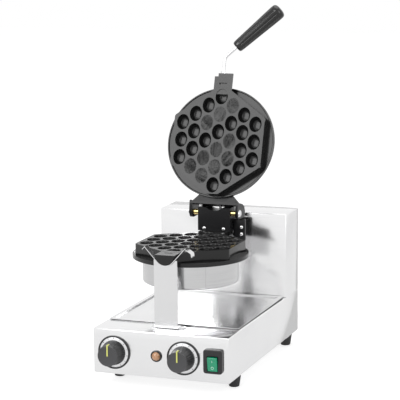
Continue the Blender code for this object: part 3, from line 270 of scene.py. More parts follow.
# %% Wire a finish
def start_finish(name, metallic=0.0, **even):
    material = bpy.data.materials.new(name)
    material.use_nodes = True
    tree = material.node_tree
    shader = tree.nodes["Principled BSDF"]
    shader.inputs["Metallic"].default_value = metallic
    for label, value in even.items():
        shader.inputs[label.replace("_", " ")].default_value = value
    places = add(tree, "ShaderNodeTexCoord")
    return material, tree, shader, places


def spread(tree, value, low, high, start=0.3, end=0.7):
    node = add(tree, "ShaderNodeMapRange")
    for socket, number in zip(node.inputs[1:5], (start, end, low, high)):
        socket.default_value = number
    tree.links.new(value, node.inputs[0])
    return node.outputs[0]


def mix_colours(tree, value, first, second, target):
    node = add(tree, "ShaderNodeMix", {"data_type": "RGBA"})
    node.inputs[6].default_value = (*first, 1.0)
    node.inputs[7].default_value = (*second, 1.0)
    tree.links.new(value, node.inputs[0])
    tree.links.new(node.outputs[2], target)
    return node


def raise_bump(tree, value, shader, strength, distance):
    node = add(tree, "ShaderNodeBump", Strength=strength, Distance=distance)
    tree.links.new(value, node.inputs["Height"])
    tree.links.new(node.outputs["Normal"], shader.inputs["Normal"])


def total(tree, first, second, share=0.5):
    node = add(tree, "ShaderNodeMix", {"data_type": "FLOAT"})
    node.inputs[0].default_value = share
    tree.links.new(first, node.inputs[2])
    tree.links.new(second, node.inputs[3])
    return node.outputs[0]

# %% Steel with brushing lines
def brushed_steel(name, bright, dark, low, high, stretch, top_stretch, bump=0.08):
    material, tree, shader, places = start_finish(name, metallic=1.0)
    lines = add(tree, "ShaderNodeGroup", {"node_tree": lines_group}, Stretch=stretch, Top_Stretch=top_stretch)
    tree.links.new(places.outputs["Object"], lines.inputs["Place"])
    tree.links.new(places.outputs["Normal"], lines.inputs["Facing"])
    both = total(tree, lines.outputs["Lines"], lines.outputs["Clouds"], 0.4)
    mix_colours(tree, spread(tree, both, 0.0, 1.0), bright, dark, shader.inputs["Base Color"])
    tree.links.new(spread(tree, both, low, high), shader.inputs["Roughness"])
    raise_bump(tree, lines.outputs["Lines"], shader, bump, 0.0002)
    return material


# %% Painted shade in black, made by a mask of places
def paint_recess_shade(material, low, high):
    # Between the two corners, in metres, the finish turns black: painted shade under the tray's rim and down
    # its recess
    tree = material.node_tree
    shader = tree.nodes["Principled BSDF"]
    places = next(node for node in tree.nodes if node.type == "TEX_COORD")
    split = add(tree, "ShaderNodeSeparateXYZ")
    tree.links.new(places.outputs["Object"], split.inputs[0])
    mask = None
    for axis, pair in zip("XYZ", zip(low, high)):
        for limit, operation in zip(pair, ("GREATER_THAN", "LESS_THAN")):
            step = add(tree, "ShaderNodeMath", {"operation": operation})
            step.inputs[1].default_value = limit
            tree.links.new(split.outputs[axis], step.inputs[0])
            if mask is None:
                mask = step.outputs[0]
            else:
                both = add(tree, "ShaderNodeMath", {"operation": "MULTIPLY"})
                tree.links.new(mask, both.inputs[0])
                tree.links.new(step.outputs[0], both.inputs[1])
                mask = both.outputs[0]
    colour = shader.inputs["Base Color"].links[0].from_socket
    # The near-black colour is painted shade
    painted_shade = add(tree, "ShaderNodeMix", {"data_type": "RGBA"})
    painted_shade.inputs[7].default_value = (0.012, 0.012, 0.012, 1.0)
    tree.links.new(mask, painted_shade.inputs[0])
    tree.links.new(colour, painted_shade.inputs[6])
    tree.links.new(painted_shade.outputs[2], shader.inputs["Base Color"])
    corners = [[round(value, 4) for value in corner] for corner in (low, high)]
    print(material.name, "has a black seal between", *corners)

# %% The steels, each from bright to dark and from smooth to rough
along_x, along_y = (16, 1500, 1500), (1500, 16, 1500)
level_lines, even_lines = (16, 16, 1500), (500, 500, 500)
round_drum, across_drum, round_bush = (10, 10, 1800), (1200, 1200, 10), (900, 60, 60)
panel_steel = brushed_steel(
    "satin sheet steel", (0.88, 0.88, 0.88), (0.82, 0.82, 0.83), 0.13, 0.20, level_lines, along_x, 0.02)
tray_steel = brushed_steel(
    "tray steel", (0.84, 0.84, 0.84), (0.76, 0.76, 0.77), 0.16, 0.24, level_lines, along_y, 0.02)
base_steel = brushed_steel(
    "base sheet steel", (0.88, 0.88, 0.88), (0.82, 0.82, 0.83), 0.13, 0.20, level_lines, along_x, 0.02)
post_steel = brushed_steel(
    "post steel", (0.79, 0.79, 0.79), (0.73, 0.73, 0.74), 0.18, 0.26, along_x, along_x, 0.03)
drum_steel = brushed_steel(
    "drum steel", (0.66, 0.66, 0.66), (0.54, 0.54, 0.55), 0.12, 0.22, round_drum, across_drum, 0.04)
bright_steel = brushed_steel(
    "turned steel", (0.86, 0.86, 0.86), (0.76, 0.76, 0.77), 0.10, 0.22, even_lines, even_lines, 0.04)
rod_steel = brushed_steel(
    "polished rod steel", (0.74, 0.74, 0.75), (0.64, 0.64, 0.65), 0.12, 0.24, even_lines, even_lines, 0.03)
dark_steel = brushed_steel(
    "oiled steel", (0.34, 0.34, 0.35), (0.22, 0.22, 0.23), 0.28, 0.42, even_lines, even_lines, 0.06)
brass_metal = brushed_steel(
    "turned brass", (0.80, 0.64, 0.30), (0.62, 0.46, 0.18), 0.16, 0.30, round_bush, round_bush, 0.05)
dial_metal = brushed_steel(
    "dial aluminium", (0.84, 0.84, 0.85), (0.74, 0.74, 0.75), 0.22, 0.34, along_x, along_x, 0.05)

# The base's top is painted black under the rim of the drip tray and down its recess, as painted shade
tray_low, tray_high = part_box("drip_tray")
rim_inset, shade_bottom, shade_top = 0.001, 0.09, 0.1042
paint_recess_shade(base_steel, (tray_low[0] + rim_inset, tray_low[1] + rim_inset, shade_bottom),
        (tray_high[0] - rim_inset, tray_high[1] - rim_inset, shade_top))

# %% Cast and moulded finishes
def grained(name, light, dark, low, high, fineness, bump, metallic=0.0, pits=0.35, distance=0.0002, **even):
    material, tree, shader, places = start_finish(name, metallic=metallic, **even)
    grain = add(tree, "ShaderNodeGroup", {"node_tree": grain_group}, Fineness=fineness)
    tree.links.new(places.outputs["Object"], grain.inputs["Place"])
    tone = total(tree, grain.outputs["Grain"], grain.outputs["Clouds"], 0.5)
    mix_colours(tree, spread(tree, tone, 0.0, 1.0), light, dark, shader.inputs["Base Color"])
    tree.links.new(spread(tree, tone, low, high), shader.inputs["Roughness"])
    raise_bump(tree, total(tree, grain.outputs["Grain"], grain.outputs["Pits"], pits), shader, bump, distance)
    return material


mould_coat = grained(
    "non-stick coat", (0.014, 0.014, 0.014), (0.009, 0.009, 0.009), 0.13, 0.21, 1100.0, 0.06, 0.0,
    Specular_IOR_Level=0.35)
hinge_coat = grained(
    "heat-proof black coat", (0.016, 0.016, 0.017), (0.009, 0.009, 0.010), 0.24, 0.34, 1300.0, 0.08, 0.0,
    Specular_IOR_Level=0.25)
bakelite = grained("bakelite", (0.010, 0.010, 0.010), (0.006, 0.006, 0.006), 0.10, 0.18, 500.0, 0.03)
skirt_plastic = grained(
    "knob skirt plastic", (0.020, 0.020, 0.021), (0.012, 0.012, 0.013), 0.28, 0.38, 900.0, 0.08)
face_plastic = grained(
    "knob face plastic", (0.060, 0.060, 0.063), (0.045, 0.045, 0.048), 0.38, 0.50, 1600.0, 0.15)
black_plastic = grained(
    "black moulding", (0.016, 0.016, 0.017), (0.010, 0.010, 0.011), 0.24, 0.34, 1200.0, 0.08)
rubber = grained("foot rubber", (0.030, 0.030, 0.031), (0.018, 0.018, 0.019), 0.62, 0.78, 1100.0, 0.2)
pointer_paint = grained("pointer moulding", (0.72, 0.74, 0.20), (0.62, 0.64, 0.15), 0.32, 0.42, 900.0, 0.06)
block_plastic = grained(
    "connection block plastic", (0.72, 0.70, 0.62), (0.62, 0.60, 0.52), 0.42, 0.55, 800.0, 0.1)
ink = grained("black ink", (0.02, 0.02, 0.02), (0.012, 0.012, 0.012), 0.45, 0.6, 1500.0, 0.05)
pale_ink = grained("pale ink", (0.62, 0.85, 0.75), (0.52, 0.78, 0.66), 0.35, 0.5, 1500.0, 0.05)
lens_amber = grained(
    "amber lens", (0.55, 0.30, 0.16), (0.42, 0.22, 0.11), 0.10, 0.18, 700.0, 0.05, Coat_Weight=0.6)
lens_green = grained(
    "green rocker", (0.0, 0.30, 0.15), (0.0, 0.24, 0.11), 0.16, 0.24, 700.0, 0.04, Coat_Weight=0.5)

# %% [markdown]
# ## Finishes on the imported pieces
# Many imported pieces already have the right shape. Each one gets its finish in its own
# material slot, and pieces with round forms are welded and shaded smooth with a modifier.

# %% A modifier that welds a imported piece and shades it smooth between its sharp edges
smooth_tree = bpy.data.node_groups.new("smooth surfaces", "GeometryNodeTree")
smooth_tree.interface.new_socket(name="Geometry", in_out="INPUT", socket_type="NodeSocketGeometry")
smooth_tree.interface.new_socket(name="Geometry", in_out="OUTPUT", socket_type="NodeSocketGeometry")
entry, leave = smooth_tree.nodes.new("NodeGroupInput"), smooth_tree.nodes.new("NodeGroupOutput")
weld = add(smooth_tree, "GeometryNodeMergeByDistance", Distance=0.00001)
all_smooth = add(smooth_tree, "GeometryNodeSetShadeSmooth", {"domain": "FACE"}, Shade_Smooth=True)
sharp_edges = add(smooth_tree, "GeometryNodeSetShadeSmooth", {"domain": "EDGE"}, Shade_Smooth=False)
edge_angle = add(smooth_tree, "GeometryNodeInputMeshEdgeAngle")
is_sharp = add(smooth_tree, "FunctionNodeCompare", {"data_type": "FLOAT", "operation": "GREATER_THAN"})
is_sharp.inputs[1].default_value = radians(50)
wire = smooth_tree.links.new
wire(entry.outputs[0], weld.inputs["Geometry"])
wire(weld.outputs[0], all_smooth.inputs["Geometry"])
wire(all_smooth.outputs[0], sharp_edges.inputs["Geometry"])
wire(edge_angle.outputs["Unsigned Angle"], is_sharp.inputs[0])
wire(is_sharp.outputs[0], sharp_edges.inputs["Selection"])
wire(sharp_edges.outputs[0], leave.inputs[0])

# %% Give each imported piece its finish
finishes = {
    base_steel: ["base_shell"],
    panel_steel: ["base_bottom_plate", "tower_cover", "tower_back_panel"],
    tray_steel: ["drip_tray"],
    post_steel: ["support_post", "cradle"],
    drum_steel: ["lower_drum", "upper_drum"],
    bright_steel: [
        "post_screw_left", "post_screw_right", "lower_drum_bolt", "upper_drum_bolt", "bracket_screw_left",
        "bracket_screw_right", "hinge_pin", "stop_bolt", "lead_cover_screw_upper", "lead_cover_screw_lower",
        "yoke_screw_left", "yoke_screw_right", "handle_rod", "handle_nut", "lug_screw_left",
        "lug_screw_right"],
    dark_steel: ["rotor_shaft", "shaft_collar", "lower_heater", "upper_heater", "front_bearing",
                 "bearing_stand", "timer_spindle", "thermostat_spindle"],
    brass_metal: ["hinge_bush_left", "hinge_bush_right"],
    dial_metal: ["timer_dial", "thermostat_dial"],
    mould_coat: ["lower_mould", "upper_mould"],
    hinge_coat: ["hinge_bracket", "hinge_yoke", "lead_cover"],
    bakelite: ["handle_grip"],
    face_plastic: ["timer_knob", "thermostat_knob"],
    black_plastic: ["lamp_bezel", "switch_bezel", "switch_body", "cable_gland"],
    rubber: ["foot_front_left", "foot_front_right", "foot_rear_left", "foot_rear_right"],
    pointer_paint: ["timer_pointer", "thermostat_pointer"],
    block_plastic: ["terminal_block", "timer_body", "thermostat_body"],
    lens_amber: ["lamp_lens"],
    lens_green: ["switch_rocker"],
}
for finish, names in finishes.items():
    for name in names:
        nodes[name].data.materials.clear()
        nodes[name].data.materials.append(finish)
given = {name for names in finishes.values() for name in names}
sheets = ("base_shell", "base_bottom_plate", "tower_cover", "tower_back_panel", "drip_tray", "support_post",
          "cradle", "hinge_bracket", "hinge_yoke", "lead_cover", "bearing_stand", "shaft_collar")
for name in sheets:
    step = nodes[name].modifiers.new("smooth surfaces", "NODES")
    step.node_group = smooth_tree
print("packed pieces without a finish:", sorted(set(nodes) - given))

# %% [markdown]
# ## Places of the moving groups
# The rotor turns about a shaft that runs from front to back. The lid hangs on a pin at the
# rear of the rotor and stands open, leaning back past upright. Pieces are modelled level,
# round their own axis, and a matrix puts them in place.

# %% Matrices of the rotor, the lid and the control panel
pin_y, pin_z = 0.09295, 0.266
shaft_y, shaft_z = -0.03705, 0.235
leaning = Matrix.Rotation(radians(-108.8), 4, "X")
rotor_place = Matrix.Translation((0.0, shaft_y, shaft_z))
pin_to_shaft = (0.0, -0.130, -0.031)
lid_place = Matrix.Translation((0.0, pin_y, pin_z)) @ leaning @ Matrix.Translation(pin_to_shaft)
upside_down = Matrix.Rotation(pi, 4, "Y")
facing_front = Matrix.Rotation(pi / 2, 4, "X")
panel_y = -0.18955

# %% [markdown]
# ## The cast moulds
# Both moulds are the same casting: a hexagonal block with thirty oval cups in seven staggered
# columns, on a round flange, with a half-round tab at the front. A fine groove follows the
# edge of the block. The cups are one turned bowl, stretched and copied, and cut out at once.

# %% A rounded outline and the set of bowls
def rounded_outline(corners, reach, steps=5):
    outline = []
    for before, here, after in zip(corners[-1:] + corners[:-1], corners, corners[1:] + corners[:1]):
        here = Vector(here)
        start = here + (Vector(before) - here).normalized() * reach
        end = here + (Vector(after) - here).normalized() * reach
        for step in range(steps + 1):
            t = step / steps
            outline.append(tuple((1 - t) ** 2 * start + 2 * t * (1 - t) * here + t ** 2 * end))
    return outline


def hex_corners(inset=0.0):
    wide, side, tip, cut = 0.0885 - inset, 0.0459 - inset * 0.5, 0.100 - inset, 0.0115 - inset * 0.25
    return [(wide, -side), (wide, side), (cut, tip), (-cut, tip), (-wide, side), (-wide, -side),
            (-cut, -tip), (cut, -tip)]


bowl_length, column_pitch, row_pitch = 1.2185, 0.0237, 0.0333


def bowls(name):
    bowl = turned(name, [
        (0.0, 0.0008), (0.01290, 0.0008), (0.01238, 0.0), (0.01196, -0.0004), (0.01170, -0.0011),
        (0.01150, -0.0030), (0.01105, -0.0062), (0.01000, -0.0094), (0.00850, -0.0119),
        (0.00700, -0.0131), (0.00610, -0.0135), (0.0, -0.0135)], 40)
    make_active(bowl)
    bpy.ops.transform.resize(value=(1.0, bowl_length, 1.0), center_override=(0.0, 0.0, 0.0))
    bpy.ops.object.transform_apply(location=True, rotation=True, scale=True)
    all_bowls = []
    for column, count in enumerate((3, 4, 5, 6, 5, 4, 3)):
        for row in range(count):
            twin = copy_of(bowl, f"{name}_{column}_{row}")
            twin.location = ((column - 3) * column_pitch, (row - (count - 1) / 2) * row_pitch, 0.0)
            all_bowls.append(place_in_mesh(twin, twin.name))
    bpy.data.objects.remove(bowl, do_unlink=True)
    return gather(all_bowls, name)

# %% One casting without its tab
def casting(name):
    block_part = plate(name, rounded_outline(hex_corners(), 0.0035), 0.0225)
    flange = turned("flange", [
        (0.0, -0.0202), (0.1006, -0.0202), (0.1010, -0.0199), (0.1013, -0.0188), (0.1018, -0.0184),
        (0.1036, -0.0184), (0.1040, -0.0188), (0.1040, -0.0252), (0.1035, -0.0257), (0.0, -0.0257)], 144)
    piece = join_or_cut(block_part, flange, "UNION")
    groove = plate("groove", rounded_outline(hex_corners(0.0024), 0.0035), 0.0007)
    inner = plate("groove_inner", rounded_outline(hex_corners(0.0031), 0.0035), 0.0009,
                  Matrix.Translation((0.0, 0.0, 0.0001)))
    groove = join_or_cut(groove, inner)
    groove = moved(groove, Matrix.Translation((0.0, 0.0, 0.0003)))
    join_or_cut(piece, groove)
    return join_or_cut(piece, bowls("bowls"))


def tab(name, drop):
    round_part = rod(name, 0.018, 0.0400, (0.0, -0.108, 0.0), "Y", 64)
    soften(round_part, 0.0006, 2, 60)
    upper_half = block("upper_half", (-0.03, -0.14, -drop), (0.03, -0.08, 0.03))
    join_or_cut(round_part, upper_half)
    slot = block("slot", (-0.0075, -0.1100, -drop - 0.003), (0.0075, -0.1065, 0.003))
    return join_or_cut(round_part, slot)

# %% Lower mould with its rear lug, and upper mould with a stepped tab
lower = casting("lower_mould_casting")
upper = copy_of(lower, "upper_mould_casting")
join_or_cut(lower, tab("lower_tab", 0.0001), "UNION")
join_or_cut(lower, block("lug", (-0.028, 0.088, -0.0220), (0.028, 0.1507, -0.003), 0.0015), "UNION")
upper_tab = tab("upper_tab", 0.0015)
join_or_cut(upper_tab, block("notch", (0.0110, -0.1300, -0.030), (0.0200, -0.1220, 0.001)))
join_or_cut(upper, upper_tab, "UNION")
# The upper face stands back a little, so that the shut moulds have a gap. The cut runs through
# a ring of corners of the bowls, and ten of the thirty bowls come out closed
shut_gap = 0.0004
join_or_cut(upper, block("skim", (-0.15, -0.15, -shut_gap), (0.15, 0.15, 0.0020)))
for piece, place, node, body in ((lower, rotor_place, "lower_mould", "rotor"),
                                 (upper, lid_place @ upside_down, "upper_mould", "lid")):
    moved(piece, place)
    clean_up(piece, 34)
    piece.data.materials.clear()
    piece.data.materials.append(mould_coat)
    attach(piece, body)
    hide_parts(node)
    print(piece.name, len(piece.data.polygons), "faces")

# %% [markdown]
# ## Drums, shaft and hinge
# Each casting carries a thin steel drum that covers its heater. The drum is rolled from a
# strip, so it has a lapped seam. The hinge pin, its bushes and the bolt are turned pieces.

# %% Drums with a rolled edge and a lapped seam
def dress(piece, finish, body, *replaced):
    piece.data.materials.clear()
    piece.data.materials.append(finish)
    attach(piece, body)
    if replaced:
        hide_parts(*replaced)
    return piece


seam_angle = radians(-49)
for label, place, body in (("lower", rotor_place, "rotor"), ("upper", lid_place @ upside_down, "lid")):
    shell = turned(label + "_drum_shell", [
        (0.0853, -0.0260), (0.0863, -0.0260), (0.0863, -0.0655), (0.0861, -0.0668), (0.0855, -0.0680),
        (0.0845, -0.0689), (0.0832, -0.0694), (0.0820, -0.0695), (0.0790, -0.0695), (0.0784, -0.0690),
        (0.0778, -0.0688), (0.0033, -0.0688), (0.0033, -0.0678), (0.0815, -0.0680), (0.0853, -0.0660),
        (0.0853, -0.0260)], 160)
    lap = block(label + "_lap", (0.08615, -0.0045, -0.0655), (0.08675, 0.0045, -0.0262), 0.0002, 2)
    moved(lap, Matrix.Rotation(seam_angle, 4, "Z"))
    drum = gather([shell, lap], label + "_drum_rolled")
    dress(moved(drum, place), drum_steel, body, label + "_drum")

# %% Turned pieces of the hinge and the shaft
pin_place = Matrix.Translation((0.0, pin_y, pin_z)) @ Matrix.Rotation(pi / 2, 4, "Y")
head = turned("hinge_pin_head", [
    (0.0, 0.0508), (0.0034, 0.0506), (0.0060, 0.0497), (0.0071, 0.0484), (0.0073, 0.0478), (0.0071, 0.0476),
    (0.0, 0.0476)], 48, pin_place)
dress(head, bright_steel, "rotor", "hinge_pin")
shank = turned("hinge_pin_shank", [
    (0.0, 0.0478), (0.0030, 0.0478), (0.0030, -0.0476), (0.0048, -0.0476), (0.0050, -0.0479),
    (0.0050, -0.0500), (0.0046, -0.0506), (0.0, -0.0506)], 48, pin_place)
dress(shank, hinge_coat, "rotor")
for side, node in ((-1, "hinge_bush_left"), (1, "hinge_bush_right")):
    low, high = sorted((side * 0.0318, side * 0.0421))
    bush = turned(node + "_turned", [
        (0.0033, high), (0.0048, high), (0.0052, high - 0.0004), (0.0052, low + 0.0004), (0.0048, low),
        (0.0033, low), (0.0033, high)], 48, pin_place)
    dress(bush, brass_metal, "rotor", node)
bolt = turned("stop_bolt_turned", [
    (0.0, 0.0270), (0.0016, 0.0270), (0.0023, 0.0265), (0.0024, 0.0260), (0.0024, -0.0030),
    (0.0, -0.0030)], 32, Matrix.Translation((0.006, 0.10590, pin_z)))
dress(bolt, dark_steel, "rotor", "stop_bolt")
shaft = turned("rotor_shaft_turned", [
    (0.0, 0.1513), (0.0272, 0.1513), (0.0280, 0.1519), (0.0280, 0.1547), (0.0272, 0.1553), (0.0104, 0.1553),
    (0.0100, 0.1560), (0.0100, 0.2070), (0.0092, 0.2080), (0.0, 0.2080)], 64,
    rotor_place @ Matrix.Rotation(-pi / 2, 4, "X"))
dress(shaft, dark_steel, "rotor", "rotor_shaft")
bearing = turned("front_bearing_turned", [
    (0.0104, -0.0060), (0.0150, -0.0060), (0.0155, -0.0055), (0.0155, -0.0034), (0.0160, -0.0030),
    (0.0234, -0.0030), (0.0240, -0.0024), (0.0240, 0.0), (0.0104, 0.0), (0.0104, -0.0060)], 64,
    Matrix.Translation((0.0, 0.13365, shaft_z)) @ Matrix.Rotation(-pi / 2, 4, "X"))
dress(bearing, dark_steel, "base", "front_bearing")

# %% Pan-head screws with a cross recess
def cross_screw(name, place, turn, shank=0.006):
    head = turned(name, [
        (0.0, 0.0024), (0.0012, 0.00236), (0.0023, 0.0020), (0.0032, 0.0012), (0.0036, 0.0004), (0.0036, 0.0),
        (0.0018, 0.0), (0.0018, -shank), (0.0, -shank)], 28)
    for size in ((0.0017, 0.0004), (0.0004, 0.0017)):
        join_or_cut(head, block("recess", (-size[0], -size[1], 0.0010), (size[0], size[1], 0.0030)))
    clean_up(head, 30)
    return moved(head, Matrix.Translation(place) @ turn @ Matrix.Rotation(radians(20), 4, "Z"))


upright = Matrix()
hung = Matrix.Rotation(pi, 4, "X")
screw_places = {
    "post_screw_left": ((-0.0252, -0.14955, 0.1066), upright, "base"),
    "post_screw_right": ((0.0252, -0.14955, 0.1066), upright, "base"),
    "bracket_screw_left": ((-0.0189, 0.08515, 0.2371), facing_front, "rotor"),
    "bracket_screw_right": ((0.0189, 0.08515, 0.2371), facing_front, "rotor"),
    "lead_cover_screw_upper": ((0.0480, 0.10215, 0.2395), facing_front, "rotor"),
    "lead_cover_screw_lower": ((0.0480, 0.10215, 0.2265), facing_front, "rotor"),
    "lug_screw_left": ((-0.0100, 0.09695, 0.21267), hung, "rotor"),
    "lug_screw_right": ((0.0100, 0.09695, 0.21267), hung, "rotor"),
    "yoke_screw_left": (lid_place @ Vector((-0.016, 0.0985, 0.0323)), leaning, "lid"),
    "yoke_screw_right": (lid_place @ Vector((0.016, 0.0985, 0.0323)), leaning, "lid"),
}
for node, (place, turn, body) in screw_places.items():
    dress(cross_screw(node + "_cross", place, turn), bright_steel, body, node)
for label, place, body in (("lower", rotor_place, "rotor"), ("upper", lid_place @ upside_down, "lid")):
    head = turned(label + "_drum_bolt_turned", [
        (0.0, -0.0260), (0.0030, -0.0260), (0.0030, -0.0698), (0.0075, -0.0698), (0.0075, -0.0715),
        (0.0062, -0.0727), (0.0045, -0.0733), (0.0, -0.0733)], 6 * 8, place)
    dress(head, bright_steel, body, label + "_drum_bolt")

# %% [markdown]
# ## Handle
# The rod is a line of points given a round section, bent to the right in the lid's own plane.
# The grip is a tapered turned body with twelve long flutes.

# %% Rod, lock nut and grip
slant = radians(46.5)
rod_x, rod_z, bend_radius, bend_steps = -0.0045, 0.0085, 0.016, 14
bend_start = Vector((rod_x, -0.153, rod_z))
way = [Vector((rod_x, -0.1165, rod_z)), bend_start]
for step in range(1, bend_steps + 1):
    angle = slant * step / bend_steps
    way.append(bend_start + bend_radius * Vector((1 - cos(angle), -sin(angle), 0.0)))
rod_way = Vector((sin(slant), -cos(slant), 0.0))
grip_start = way[-1] + rod_way * 0.022
way.append(grip_start + rod_way * 0.029)
handle_line = trace([tuple(point) for point in way])
bpy.ops.object.mode_set(mode="OBJECT")
bpy.ops.object.convert(target="CURVE")
handle_line = bpy.context.object
handle_line.data.bevel_depth = 0.003
handle_line.data.bevel_resolution = 8
handle_line.data.use_fill_caps = True
bpy.ops.object.convert(target="MESH")
handle_line = clean_up(place_in_mesh(bpy.context.object, "handle_rod_bent"))
dress(moved(handle_line, lid_place), rod_steel, "lid", "handle_rod")
nut = rod("handle_nut_hex", 0.0055, 0.0045, (0.0, 0.0, 0.0), "Y", 6)
soften(nut, 0.0004, 3, 40)
nut_hole = rod("nut_hole", 0.0033, 0.0100, (0.0, 0.0, 0.0), "Y", 32)
join_or_cut(nut, nut_hole)
clean_up(nut, 30)
nut_place = lid_place @ Matrix.Translation((rod_x, -0.13055, rod_z))
dress(moved(nut, nut_place), bright_steel, "lid", "handle_nut")
grip = turned("handle_grip_fluted", [
    (0.0, 0.1088), (0.0050, 0.1087), (0.0088, 0.1080), (0.0118, 0.1066), (0.0136, 0.1046),
    (0.0144, 0.1022), (0.0146, 0.0990), (0.0140, 0.0800), (0.0130, 0.0545), (0.0120, 0.0250),
    (0.0113, 0.0060), (0.0111, 0.0040), (0.0104, 0.0016), (0.0092, 0.0003), (0.0033, 0.0003),
    (0.0033, 0.0300), (0.0, 0.0300)], 96)
flute_count = 12
flutes = []
for step in range(flute_count):
    flute = rod(f"flute_{step}", 0.0016, 0.0880, (0.0, 0.0, 0.0), "Z", 16, 0.0022)
    lean = Matrix.Rotation(radians(2.25), 4, "Y")
    flute = moved(flute, Matrix.Rotation(2 * pi * step / flute_count, 4, "Z")
                  @ Matrix.Translation((0.01395, 0.0, 0.0530)) @ lean)
    flutes.append(flute)
join_or_cut(grip, gather(flutes, "flutes"))
clean_up(grip, 40)
grip_axis = Matrix.Translation(grip_start) @ Matrix.Rotation(slant, 4, "Z") @ Matrix.Rotation(pi / 2, 4, "X")
dress(moved(grip, lid_place @ grip_axis), bakelite, "lid", "handle_grip")

# %% [markdown]
# ## Controls
# The knobs taper towards their faces and carry fine ribs. Each stands on a silver ring with
# small tick marks and a black rim. The lamp is a small dome, and the mains switch is a green
# rocker in a thick black frame.

# %% A ribbed skirt and its face
def ribbed_knob(name, x):
    place = Matrix.Translation((x, panel_y, 0.0634)) @ facing_front
    ribs = 36
    outline = []
    for step in range(ribs * 2):
        radius = 0.02270 if step % 2 else 0.02215
        angle = 2 * pi * step / (ribs * 2)
        outline.append((radius * cos(angle), radius * sin(angle)))
    skirt = plate(name + "_skirt", outline, 0.0270, Matrix.Translation((0.0, 0.0, 0.0305)))
    make_active(skirt)
    taper = skirt.modifiers.new("taper", "SIMPLE_DEFORM")
    taper.deform_method = "TAPER"
    taper.deform_axis = "Z"
    taper.factor = -0.205
    apply_modifier(skirt, taper)
    deselect_all()
    skirt = clean_up(skirt, 20)
    crown = turned(name + "_crown", [
        (0.0, 0.0307), (0.0150, 0.0308), (0.0166, 0.0312), (0.0174, 0.0314), (0.0180, 0.0311),
        (0.0183, 0.0303), (0.0183, 0.0290), (0.0, 0.0290)], 96)
    return skirt, crown, place

# %% Both controls
for label, x, count, span in (("timer", -0.0855, 13, 300), ("thermostat", 0.0426, 11, 270)):
    skirt, crown, place = ribbed_knob(label, x)
    print(label, "skirt", [round(v, 4) for v in skirt.dimensions])
    dress(moved(skirt, place), skirt_plastic, label, label + "_knob")
    dress(moved(crown, place), face_plastic, label)
    bar = block(label + "_bar", (-0.0012, 0.0, 0.0306), (0.0012, 0.0184, 0.0319), 0.0004, 3)
    side_bar = block(label + "_side_bar", (-0.0012, 0.0178, 0.0232), (0.0012, 0.0198, 0.0317), 0.0004, 3)
    pointer = moved(gather([bar, side_bar], label + "_pointer_bar"), place)
    dress(pointer, pointer_paint, label, label + "_pointer")
    ring = turned(label + "_ring", [
        (0.0050, 0.0025), (0.0266, 0.0025), (0.0269, 0.0023), (0.0269, 0.0003), (0.0050, 0.0003),
        (0.0050, 0.0025)], 128, place)
    rim = turned(label + "_rim", [
        (0.0268, 0.0026), (0.0271, 0.0033), (0.0278, 0.0035), (0.0288, 0.0034), (0.0295, 0.0028),
        (0.0297, 0.0020), (0.0297, 0.0003), (0.0268, 0.0003), (0.0268, 0.0026)], 128, place)
    dress(ring, dial_metal, "base", label + "_dial")
    dress(rim, skirt_plastic, "base")
    ticks = []
    for step in range(count):
        half = 0.00032 if step % 2 else 0.0005
        tick = block(f"{label}_tick_{step}", (-half, 0.0238, 0.00245), (half, 0.0262, 0.00256))
        ticks.append(moved(tick, Matrix.Rotation(radians(span * (0.5 - step / (count - 1))), 4, "Z")))
    dress(moved(gather(ticks, label + "_ticks"), place), ink, "base")

# %% Lamp
lamp_place = Matrix.Translation((-0.007, panel_y, 0.0628)) @ facing_front
collar = turned("lamp_collar", [
    (0.0, 0.0010), (0.0076, 0.0010), (0.0079, 0.0030), (0.0090, 0.0031), (0.0098, 0.0026), (0.0102, 0.0016),
    (0.0102, 0.0003), (0.0062, 0.0003), (0.0062, -0.0160), (0.0, -0.0160)], 72, lamp_place)
dress(collar, black_plastic, "base", "lamp_bezel")
dome = turned("lamp_dome", [
    (0.0, 0.0080), (0.0020, 0.0078), (0.0040, 0.0070), (0.0056, 0.0058), (0.0068, 0.0045), (0.0074, 0.0034),
    (0.0076, 0.0025), (0.0076, 0.0013), (0.0, 0.0013)], 72, lamp_place)
dress(dome, lens_amber, "base", "lamp_lens")

# %% Mains switch
switch_place = Matrix.Translation((0.0982, panel_y, 0.0632)) @ facing_front
frame_outline = rounded_outline(
    [(-0.0170, -0.0210), (0.0170, -0.0210), (0.0170, 0.0210), (-0.0170, 0.0210)], 0.0055, 7)
bezel = plate("switch_frame", frame_outline, 0.0082, Matrix.Translation((0.0, 0.0, 0.0085)))
soften(bezel, 0.0016, 4, 60)
window = block("window", (-0.0100, -0.0170, 0.0), (0.0100, 0.0100, 0.0120), 0.0012, 3)
join_or_cut(bezel, window)
soften(bezel, 0.0004, 2, 70)
back_plate = block("switch_back", (-0.0101, -0.0171, 0.0003), (0.0101, 0.0101, 0.0012))
dress(moved(clean_up(gather([bezel, back_plate], "switch_frame_moulded"), 30), switch_place),
      black_plastic, "base", "switch_bezel")
rocker_place = (Matrix.Translation((0.0982, -0.19465, 0.0597)) @ Matrix.Rotation(radians(9.0), 4, "X")
                @ facing_front)
rocker = block("switch_rocker_lens", (-0.0088, -0.0123, -0.0002), (0.0088, 0.0123, 0.0056), 0.0011, 4)
hollow = rod("hollow", 0.0600, 0.0300, (0.0, 0.0, 0.0649), "X", 128)
join_or_cut(rocker, hollow)
dress(moved(clean_up(rocker, 35), rocker_place), lens_green, "switch", "switch_rocker")
line_mark = block("line_mark", (-0.0004, 0.0042, 0.0045), (0.0004, 0.0082, 0.00538))
deselect_all()
bpy.ops.mesh.primitive_torus_add(
    major_segments=40, minor_segments=8, major_radius=0.0022, minor_radius=0.0004,
    location=(0.0, -0.0062, 0.0052))
ring_mark = place_in_mesh(bpy.context.object, "ring_mark")
marks = gather([line_mark, ring_mark], "switch_marks")
dress(moved(marks, rocker_place), pale_ink, "switch")

